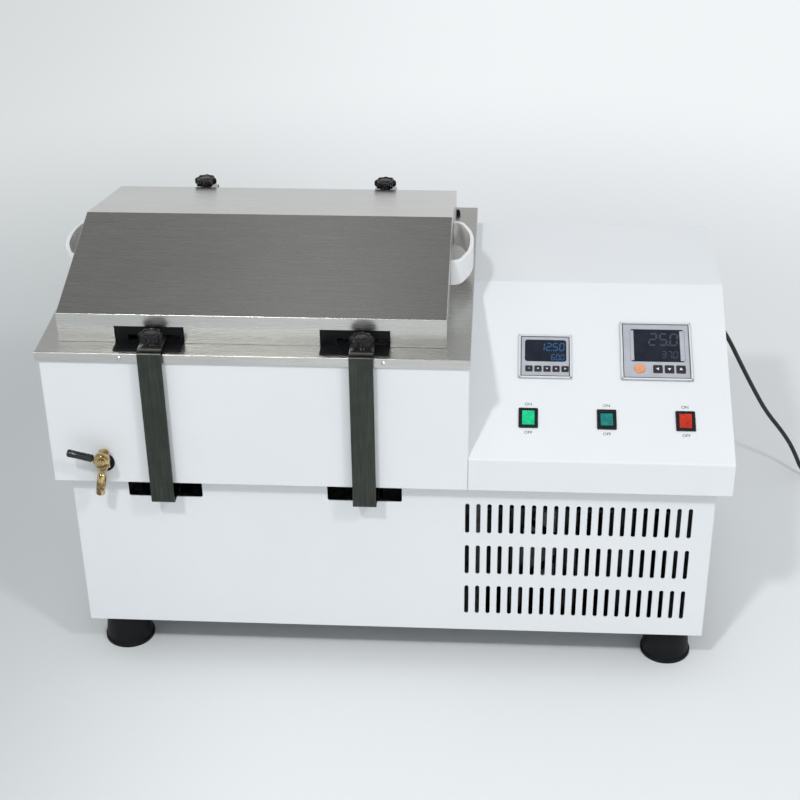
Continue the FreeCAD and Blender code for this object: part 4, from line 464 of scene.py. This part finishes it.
nodeFinishes = {
    "whitePaint": ["cabinet_shell", "rear_panel", "bath_casing", "control_housing"],
    "greyZinc": ["base_pan", "shelf", "drive_motor"],
    "stainless": ["deck", "lid", "bath_tank", "tray"],
    "strapSteel": ["front_arm_left", "rear_arm_left", "front_arm_right", "rear_arm_right", "carriage"],
    "brightSteel": ["guide_rails", "crank", "connecting_rod", "deck_screws", "heater", "temperature_probe"],
    "copperPipe": ["cooling_coil"],
    "blackRubber": ["feet", "arm_guards", "cord_gland", "tap_seal", "sensor_gland"],
    "blackPlastic": ["front_knob_left", "rear_knob_left", "front_knob_right", "rear_knob_right", "fan_blade"],
    "cordJacket": ["power_cord", "cord_coil", "power_plug"],
    "whitePlastic": ["lid_handle_left", "lid_handle_right"],
    "brassFitting": ["tap_body"],
    "leverSleeve": ["tap_lever"],
    "foam": ["insulation"],
    "blackPaint": ["compressor", "fan_motor"],
    "coilFins": ["condenser"],
    "meterGrey": ["timer_meter", "temperature_meter"],
    "darkWindow": ["display_windows"],
    "switchBlack": ["switch_frames"],
    "keyBlack": keyNodes,
    "keyOrange": ["menu_key"],
    "lensGreen": ["rocker_1"],
    "lensTeal": ["rocker_2"],
    "lensRed": ["rocker_3"],
}

for finishName, names in nodeFinishes.items():
    for name in names:
        for materialSlot in nodes[name].material_slots:
            materialSlot.material = finishes[finishName]
print("finishes:", len(finishes))


# ---- helpers that make a piece

def addPiece(name, bm, body, finishNames, smooth=32):
    # smooth: edges that turn by more degrees than this stay sharp
    bmesh.ops.remove_doubles(bm, verts=bm.verts, dist=weldDistance)
    mesh = bpy.data.meshes.new(name)
    bm.to_mesh(mesh)
    bm.free()
    mesh.shade_smooth()
    mesh.set_sharp_from_angle(angle=math.radians(smooth))
    for finishName in finishNames:
        mesh.materials.append(finishes[finishName])
    piece = bpy.data.objects.new(name, mesh)
    bpy.context.collection.objects.link(piece)
    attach(piece, body)
    return piece


def spun(profile, steps=48):
    # profile: (radius, height) points, turned round Z
    bm = bmesh.new()
    corners = [bm.verts.new((radius, 0, height)) for radius, height in profile]
    edges = [bm.edges.new(pair) for pair in zip(corners, corners[1:])]
    bmesh.ops.spin(bm, geom=corners + edges, axis=(0, 0, 1), cent=(0, 0, 0), steps=steps, angle=fullTurn,
                   use_merge=True, use_duplicate=False)
    bmesh.ops.remove_doubles(bm, verts=bm.verts, dist=weldDistance)
    bmesh.ops.recalc_face_normals(bm, faces=bm.faces)
    return bm


def merged(parts, matrix=None):
    # puts several bmeshes into one; each part is (bmesh, its place, its material index)
    whole = bmesh.new()
    for bm, place, index in parts:
        for face in bm.faces:
            face.material_index = index
        bmesh.ops.transform(bm, matrix=(matrix or Matrix()) @ place, verts=bm.verts)
        mesh = bpy.data.meshes.new("part")
        bm.to_mesh(mesh)
        bm.free()
        whole.from_mesh(mesh)
        bpy.data.meshes.remove(mesh)
    return whole


# ---- mains cord

cordLook = {
    "radius": 3.5,
    "roundSteps": 5,
    "runSteps": 8,
    # the free run, from the gland to the coil: the same points as the tube's
    "route": (
        (398.0, 265.5, 362.0), (398.0, 308.0, 361.0), (422.0, 330.0, 345.0), (462.0, 326.0, 306.0),
        (504.0, 313.0, 252.0), (534.0, 308.0, 195.0), (558.5, 306.0, 150.0), (582.0, 305.0, 110.0),
        (611.0, 303.0, 75.0), (631.0, 296.5, 46.0), (650.0, 283.0, 3.5), (694.0, 269.5, 3.5),
        (719.8, 264.2, 3.5),
    ),
    "coilMiddle": (728.0, 222.0),
    # in degrees: where the coil starts, and how far the cord goes round in it
    "coilStart": 80.0,
    "coilTurned": 1880.0,
    "pointsPerTurn": 16,
    # where the strand changes its ring (radius) and its layer (height), in degrees turned
    "rings": ((0, 41.2), (285, 41.2), (355, 34.2), (850, 34.2), (920, 41.2), (1500, 41.2), (1570, 34.2),
              (1830, 34.2), (1880, 37.8)),
    "layers": ((0, 3.5), (195, 3.5), (270, 3.5), (545, 3.5), (620, 10.5), (1140, 10.5), (1210, 17.5),
               (1880, 17.5)),
    "tail": ((766.5, 208.0, 17.5), (766.5, 192.0, 17.5), (766.5, 176.0, 17.5)),
    "length": 1.8,
}


def between(rows, turned):
    # eased value at an angle, from rows of (angle, value)
    for (startAngle, startValue), (endAngle, endValue) in zip(rows, rows[1:]):
        if turned <= endAngle:
            share = (turned - startAngle) / (endAngle - startAngle)
            share = share * share * (3 - 2 * share)
            return startValue + (endValue - startValue) * share
    return rows[-1][1]


def cordPoints():
    look = cordLook
    points = list(look["route"])
    step = 360 / look["pointsPerTurn"]
    outward = 8 / (6 + 2 * math.cos(math.radians(step)))  # the spline runs inside its points
    x, y = look["coilMiddle"]
    for i in range(1, int(look["coilTurned"] / step)):
        turned = i * step
        angle = math.radians(look["coilStart"] - turned)
        radius = between(look["rings"], turned) * outward
        points.append((x + radius * math.cos(angle), y + radius * math.sin(angle),
                       between(look["layers"], turned)))
    return points + list(look["tail"])


def addCord(plug):
    curve = bpy.data.curves.new("mainsCord", "CURVE")
    curve.dimensions = "3D"
    curve.bevel_depth = cordLook["radius"] * mm
    curve.bevel_resolution = cordLook["roundSteps"]
    curve.resolution_u = cordLook["runSteps"]
    spline = curve.splines.new("NURBS")
    points = cordPoints()
    spline.points.add(len(points) - 1)
    for point, place in zip(spline.points, points):
        point.co = (*(part * mm for part in place), 1.0)
    spline.order_u = 3
    spline.use_endpoint_u = True
    spline.use_smooth = True
    curve.use_fill_caps = True
    curve.materials.append(finishes["cordJacket"])
    cord = bpy.data.objects.new("mainsCord", curve)
    bpy.context.collection.objects.link(cord)
    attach(cord, "housing")
    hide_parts("power_cord", "cord_coil")


plugLook = {
    "start": (766.5, 200.0, 17.5),
    # the lathe's Z runs along the plug, from the cord to the pins
    "grip": ((0, 14), (3.6, 14), (4.9, 15), (4.9, 20), (4.1, 20.6), (4.1, 22), (5.6, 22.6), (5.6, 25.4),
             (4.6, 26), (4.6, 27.6), (6.6, 28.2), (6.6, 31), (5.6, 31.8), (5.6, 33), (8.0, 35), (8.8, 39),
             (11.2, 43), (12.0, 47), (11.4, 52), (10.4, 57), (10.4, 61), (12.5, 64), (16.4, 65.5),
             (17.4, 67), (17.4, 72.4), (16.6, 73.6), (0, 74)),
    "pin": ((0, 73), (2.4, 73), (2.4, 91.4), (1.32, 92.7), (0, 93)),
    "pinPitch": 19.0,
    "pinSteps": 24,
}


def addPlug():
    look = plugLook
    forward = Matrix.Translation(Vector(look["start"]) * mm) @ Matrix.Rotation(math.radians(90), 4, "X")
    parts = [(spun(look["grip"]), Matrix(), 0)]
    for side in (-1, 1):
        place = Matrix.Translation((side * look["pinPitch"] / 2, 0, 0))
        parts.append((spun(look["pin"], look["pinSteps"]), place, 1))
    bm = merged(parts, forward @ Matrix.Scale(mm, 4))
    piece = addPiece("mainsPlug", bm, "housing", ["cordJacket", "brightSteel"])
    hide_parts("power_plug")
    return piece


addCord(addPlug())
print("cord is in")


# ---- moulded pieces with softened edges

softEdges = {
    # node: edge width in mm, body, finish, slot
    "lid_handle_left": (1.5, "lid", "whitePlastic", "white_plastic"),
    "lid_handle_right": (1.5, "lid", "whitePlastic", "white_plastic"),
    "timer_meter": (0.35, "housing", "meterGrey", "meter_grey"),
    "temperature_meter": (0.35, "housing", "meterGrey", "meter_grey"),
    "switch_frames": (0.5, "housing", "switchBlack", "switch_black"),
    "rocker_1": (0.5, "rocker_1", "lensGreen", "lens_green"),
    "rocker_2": (0.5, "rocker_2", "lensTeal", "lens_teal"),
    "rocker_3": (0.5, "rocker_3", "lensRed", "lens_red"),
    "menu_key": (0.4, "menu_key", "keyOrange", "key_orange"),
    "tap_seal": (0.5, "housing", "blackRubber", "black_rubber"),
    "sensor_gland": (0.4, "housing", "blackRubber", "black_rubber"),
    "feet": (0.8, "housing", "blackRubber", "black_rubber"),
}
softEdges.update({name: (0.4, name, "keyBlack", "key_black") for name in keyNodes})
bevelLook = {
    "segments": 3,
    # in degrees: faces that turn less than flat are one, and edges that turn more than sharp are softened
    "flat": 1,
    "sharp": 40,
}


def addSoftened(name, width, body, finishName):
    look = bevelLook
    bm = bmesh.new()
    bm.from_mesh(nodes[name].data)
    bmesh.ops.remove_doubles(bm, verts=bm.verts, dist=weldDistance)
    bmesh.ops.dissolve_limit(bm, angle_limit=math.radians(look["flat"]), verts=bm.verts, edges=bm.edges)
    for face in bm.faces:
        face.material_index = 0
    piece = addPiece(name + "_soft", bm, body, [finishName])
    bevel = piece.modifiers.new("softEdges", "BEVEL")
    bevel.width = width * mm
    bevel.segments = look["segments"]
    bevel.limit_method = "ANGLE"
    bevel.angle_limit = math.radians(look["sharp"])
    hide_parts(name)


for name, (width, body, finishName, slotName) in softEdges.items():
    addSoftened(name, width, body, finishName)
print("softened pieces:", len(softEdges))


# ---- star knobs

knobLook = {
    "lobes": 8,
    "lobesFrom": 10.9,  # the radius from which the outline draws in between two lobes
    "reach": 16.2,
    "valley": 0.25,  # how far it draws in at the rim, as a share
    "roundness": 0.8,
    "steps": 128,
    "sunk": 4.0,  # how far the profile goes below its zero
    "profile": ((0, -4.0), (4.0, -4.0), (4.0, 0.3), (7.5, 0.3), (8.2, 4.5), (12.5, 6.3), (15.3, 7.0),
                (16.2, 8.4), (16.2, 13.4), (15.6, 15.0), (14.0, 16.1), (10.9, 16.3), (10.2, 15.9),
                (9.9, 15.1), (0, 15.1)),
    "cap": ((0, 14.9), (8.9, 14.9), (8.9, 15.5), (8.3, 15.9), (2.6, 16.1), (0, 16.1)),
    "smooth": 40,
}


def addKnob(end, side):
    look, name = knobLook, f"{end}_knob_{side}"
    knob = spun(look["profile"], look["steps"])
    for vert in knob.verts:
        radius = math.hypot(vert.co.x, vert.co.y)
        share = max(0.0, min(1.0, (radius - look["lobesFrom"]) / (look["reach"] - look["lobesFrom"])))
        wave = 0.5 - 0.5 * math.cos(look["lobes"] * math.atan2(vert.co.y, vert.co.x))
        draw = 1 - look["valley"] * share * wave ** look["roundness"]
        vert.co.x *= draw
        vert.co.y *= draw
    low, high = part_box(name)
    place = Matrix.Translation(((low[0] + high[0]) / 2, (low[1] + high[1]) / 2, low[2] + look["sunk"] * mm))
    bm = merged([(knob, Matrix(), 0), (spun(look["cap"]), Matrix(), 1)], place @ Matrix.Scale(mm, 4))
    piece = addPiece(f"starKnob_{end}_{side}", bm, name, ["blackPlastic", "leverSleeve"],
                     look["smooth"])
    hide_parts(name)


for end in ("front", "rear"):
    for side in ("left", "right"):
        addKnob(end, side)
print("knobs are in")


# ---- drain tap, leaning a little to the right

tapLook = {
    "seat": (-377.9, -232.5, 333.0),
    "lean": 10.0,
    "axisOut": 10.0,
    "pivotUp": 16.5,
    "leverOut": 22.8,
    "leverRise": 4.0,
    # profiles: the barrel and the spout stand on the leaning axis, the tail on the seat's,
    # the boss and the hub on the pivot's, the stem and the sleeve on the lever's
    "barrel": ((0, -6), (5.6, -6), (7.2, -4.8), (7.2, -1), (7.6, 0), (7.6, 3), (7.2, 4), (7.2, 20.5),
               (6.6, 22.6), (4.6, 23.9), (2.4, 24.5), (0, 24.5)),
    "spout": ((0, -19.5), (3.6, -19.5), (3.6, -43.9), (4.0, -44.5), (5.6, -44.5), (6.1, -43.8), (6.1, -40),
              (5.8, -39.6), (5.8, -38.6), (6.1, -38.2), (6.1, -15), (5.2, -13.4), (4.2, -12.4), (4.2, -7.6),
              (5.4, -5.6), (0, -5.6)),
    "tail": ((0, -30), (7.4, -30), (8, -29), (8, 7), (7.2, 8.6), (0, 9.4)),
    "boss": ((0, 9), (7, 9), (7, 15.4), (6.4, 16), (6.4, 17), (6.9, 17.4), (6.9, 18), (3, 18), (3, 27.6),
             (4.8, 27.6), (5, 28), (5, 29), (3.9, 29.9), (0, 30.2)),
    "hub": ((3.1, 18.4), (9.7, 18.4), (10.5, 19.2), (10.5, 26.4), (9.7, 27.2), (3.1, 27.2), (3.1, 18.4)),
    "stem": ((0, 6), (3.4, 8), (3.0, 10), (2.5, 11), (2.5, 14), (0, 14)),
    "sleeve": ((2.4, 11.5), (4.2, 11.5), (5.0, 12.4), (5.2, 14), (4.9, 30), (5.2, 43.4), (4.6, 45.2),
               (3.0, 46), (0, 46)),
    "thinSteps": 32,
    # the hexagon: radius, depth, the place of its middle on the seat's axis, and edge width
    "nut": (10, 4, 4, 0.5),
}


def addTap():
    look = tapLook
    x, y, z = look["seat"]
    lean, steps = math.radians(look["lean"]), look["thinSteps"]
    pivotX, pivotZ = x + look["pivotUp"] * math.sin(lean), z + look["pivotUp"] * math.cos(lean)
    outward = Matrix.Rotation(math.radians(90), 4, "X")
    leaning = Matrix.Translation((x, y - look["axisOut"], z)) @ Matrix.Rotation(lean, 4, "Y")
    seat = Matrix.Translation((x, y, z)) @ outward
    pivot = Matrix.Translation((pivotX, y, pivotZ)) @ outward
    radius, depth, middle, edge = look["nut"]
    nut = bmesh.new()
    bmesh.ops.create_cone(nut, cap_ends=True, segments=6, radius1=radius, radius2=radius, depth=depth)
    bmesh.ops.bevel(nut, geom=nut.edges[:], offset=edge, offset_type="OFFSET", segments=2, profile=0.5,
                    affect="EDGES", material=-1)
    bm = merged([
        (spun(look["barrel"]), leaning, 0), (spun(look["spout"]), leaning, 0), (spun(look["tail"]), seat, 0),
        (nut, seat @ Matrix.Translation((0, 0, middle)), 0), (spun(look["boss"], steps), pivot, 0),
    ], Matrix.Scale(mm, 4))
    body = addPiece("tapBody", bm, "housing", ["brassFitting"])
    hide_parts("tap_body")
    lever = (Matrix.Translation((pivotX, y - look["leverOut"], pivotZ))
             @ Matrix.Rotation(lean + math.radians(look["leverRise"] - 90), 4, "Y"))
    bm = merged([(spun(look["hub"]), pivot, 1), (spun(look["stem"], steps), lever, 1),
                 (spun(look["sleeve"], steps), lever, 0)], Matrix.Scale(mm, 4))
    handle = addPiece("tapLever", bm, "tap_handle", ["leverSleeve", "brassFitting"])
    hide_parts("tap_lever")


addTap()
print("tap is in")


# ---- the sloping panel: displays, key signs and switch labels

panelLook = {
    "corner": (0.1035, -0.2325, 0.3495),
    "tilt": 25.2,
    "switches": (77.31, 180.50, 283.69),
    "switchUp": 66.5,
    "labelSize": 6.2,
    "labelThick": 0.06,
    "labelUp": 22.4,  # from the middle of a switch
    "labelTop": 0.05,
}
panel = (Matrix.Translation(panelLook["corner"]) @ Matrix.Rotation(math.radians(panelLook["tilt"]), 4, "X")
         @ Matrix.Scale(mm, 4))


def bar(width, height, deep=0.3, slant=0.0, widestEdge=0.12):
    # a thin raised bar about the origin, with soft edges
    bm = bmesh.new()
    bmesh.ops.create_cube(bm, size=1)
    bmesh.ops.scale(bm, vec=(width, height, deep), verts=bm.verts)
    for vert in bm.verts:
        vert.co.x += slant * vert.co.y
    bmesh.ops.bevel(bm, geom=bm.edges[:], offset=min(widestEdge, deep / 3), offset_type="OFFSET", segments=1,
                    profile=0.5, affect="EDGES", material=-1)
    return bm


def lettering(words, size, thick):
    curve = bpy.data.curves.new("words", "FONT")
    curve.body = words
    curve.size = size
    curve.align_x = "CENTER"
    curve.align_y = "CENTER"
    curve.extrude = thick
    textObject = bpy.data.objects.new("words", curve)
    bpy.context.collection.objects.link(textObject)
    bpy.context.view_layer.update()
    mesh = bpy.data.meshes.new_from_object(textObject)
    bm = bmesh.new()
    bm.from_mesh(mesh)
    bpy.data.objects.remove(textObject)
    bpy.data.curves.remove(curve)
    bpy.data.meshes.remove(mesh)
    return bm


# the seven bars of a digit: middle x, middle y (as shares of its width and height), and whether it stands
digitBars = ((0.5, 1.0, False), (1.0, 0.75, True), (1.0, 0.25, True), (0.5, 0.0, False), (0.0, 0.25, True),
             (0.0, 0.75, True), (0.5, 0.5, False))
litBars = {"0": "012345", "1": "12", "2": "01346", "3": "01236", "4": "1256", "5": "02356", "6": "023456",
           "7": "012", "8": "0123456", "9": "012356"}
digitLook = {
    # shares of a digit's height; pull is what a lying bar lacks, as a share of its thickness
    "width": 0.48,
    "step": 0.74,
    "thick": 0.13,
    "slant": 0.08,
    "pull": 0.6,
}


def digits(number, right, low, height, top):
    # a row of digits that ends at the right
    width, step, thick = (height * digitLook[part] for part in ("width", "step", "thick"))
    slant = digitLook["slant"]
    parts, x = [], right - width
    for letter in reversed(number):
        if letter == ".":
            parts.append((bar(thick, thick), Matrix.Translation((x + step - thick, low, top)), 0))
            continue
        for index in litBars[letter]:
            across, up, stands = digitBars[int(index)]
            size = (thick, height / 2 - thick) if stands else (width - thick * digitLook["pull"], thick)
            place = Matrix.Translation((x + across * width + slant * height * up, low + up * height, top))
            parts.append((bar(*size, slant=slant if stands else 0.0), place, 0))
        x -= step
    return parts


meterLooks = {
    "timer": {
        "corner": (63.6, 130.2),  # the meter's lower left corner on the panel
        "size": 72,
        "frameTop": 3.0,
        # number, right end, foot line and height of each row, from the corner
        "rows": (("12.50", 61.0, 46.5, 12.0), ("60.0", 61.0, 31.0, 8.6)),
        "rowTop": 1.55,
        "finish": "blueDigits",
        # what the keys' signs show: a bar, or an arrow turned by so many degrees
        "signs": ("bar", 180, 270, 90, 0),
        "firstSign": (14.25, 15.6, 2.95),
        "signPitch": 12.1,
        "signSize": 1.7,
    },
    "temperature": {
        "corner": (201.3, 130.2),
        "size": 96,
        "frameTop": 3.5,
        "rows": (("25.0", 76.0, 58.5, 19.0), ("37.0", 76.0, 37.5, 10.5)),
        "rowTop": 2.05,
        "finish": "greyDigits",
        "signs": (180, 270, 90),
        "firstSign": (49.2, 18.2, 3.45),
        "signPitch": 15.4,
        "signSize": 2.6,
    },
}


def addPanelPiece(name, parts, body, finishName):
    addPiece(name, merged(parts, panel), body, [finishName])


def addDigits(kind):
    look = meterLooks[kind]
    left, up = look["corner"]
    parts = []
    for number, right, low, height in look["rows"]:
        parts += digits(number, left + right, up + low, height, look["rowTop"])
    addPanelPiece(kind + "Digits", parts, "housing", look["finish"])


trimLook = (
    # grey side bars of the temperature window, and the stripe through its key row:
    # width, height and thickness, then the middle from the meter's corner
    (4.6, 50.0, 0.5, 15.8, 57.5, 2.15),
    (6.0, 50.0, 0.5, 83.4, 57.5, 2.15),
    (7.0, 2.2, 0.4, 37.6, 18.4, 2.6),
    (4.6, 2.2, 0.4, 89.2, 18.4, 2.6),
)


def addTrims():
    left, up = meterLooks["temperature"]["corner"]
    trims = [(bar(width, height, deep), Matrix.Translation((left + x, up + y, top)), 0)
             for width, height, deep, x, y, top in trimLook]
    addPanelPiece("temperatureTrims", trims, "housing", "meterGrey")


frameLook = {
    # the dark outlines are painted shade along the edges of the inner plates
    # pale frames, with dark outlines between them and the inner plates: how far a side's middle line
    # is inside the meter's edge, what its length lacks, its width and thickness, then finish and slot
    "meterShadeLines": (3.4, 6.0, 1.1, 0.24, "blackPrintAndShade", "switch_black"),
    "meterFrames": (1.6, 0.6, 2.6, 0.3, "paleFrame", "meter_grey"),
}


def addFrames(name):
    inside, lacks, wide, deep, finishName, slotName = frameLook[name]
    sides = []
    for look in meterLooks.values():
        half = look["size"] / 2
        middle = Matrix.Translation((look["corner"][0] + half, look["corner"][1] + half, look["frameTop"]))
        for turn in range(4):
            turned = Matrix.Rotation(turn * fullTurn / 4, 4, "Z") @ Matrix.Translation((0, half - inside, 0))
            sides.append((bar(look["size"] - lacks, wide, deep), middle @ turned, 0))
    addPanelPiece(name, sides, "housing", finishName)


signLook = {
    "thick": 0.2,
    "bar": (1.5, 0.4),  # width and height, as shares of a sign's size
}


def addSign(name, place, shows, size):
    if shows == "bar":
        width, height = signLook["bar"]
        sign, turn = bar(size * width, size * height, signLook["thick"]), 0
    else:
        sign, turn = bmesh.new(), math.radians(shows - 90)
        bmesh.ops.create_cone(sign, cap_ends=True, segments=3, radius1=size, radius2=size,
                              depth=signLook["thick"])
    place = Matrix.Translation(place) @ Matrix.Rotation(turn, 4, "Z")
    addPanelPiece("sign_" + name, [(sign, place, 0)], name, "whitePrint")


def addSigns(kind):
    look = meterLooks[kind]
    left, up = look["corner"]
    x, y, top = look["firstSign"]
    for i, shows in enumerate(look["signs"]):
        place = (left + x + i * look["signPitch"], up + y, top)
        addSign(f"{kind}_key_{i + 1}", place, shows, look["signSize"])


def addLabels():
    look = panelLook
    parts = []
    for across in look["switches"]:
        for words, side in (("ON", 1), ("OFF", -1)):
            place = (across, look["switchUp"] + side * look["labelUp"], look["labelTop"])
            letters = lettering(words, look["labelSize"], look["labelThick"])
            parts.append((letters, Matrix.Translation(place), 0))
    addPanelPiece("switchLabels", parts, "housing", "blackPrintAndShade")


for kind in meterLooks:
    addDigits(kind)
addTrims()
for name in frameLook:
    addFrames(name)
for kind in meterLooks:
    addSigns(kind)
addLabels()
print("panel is in")
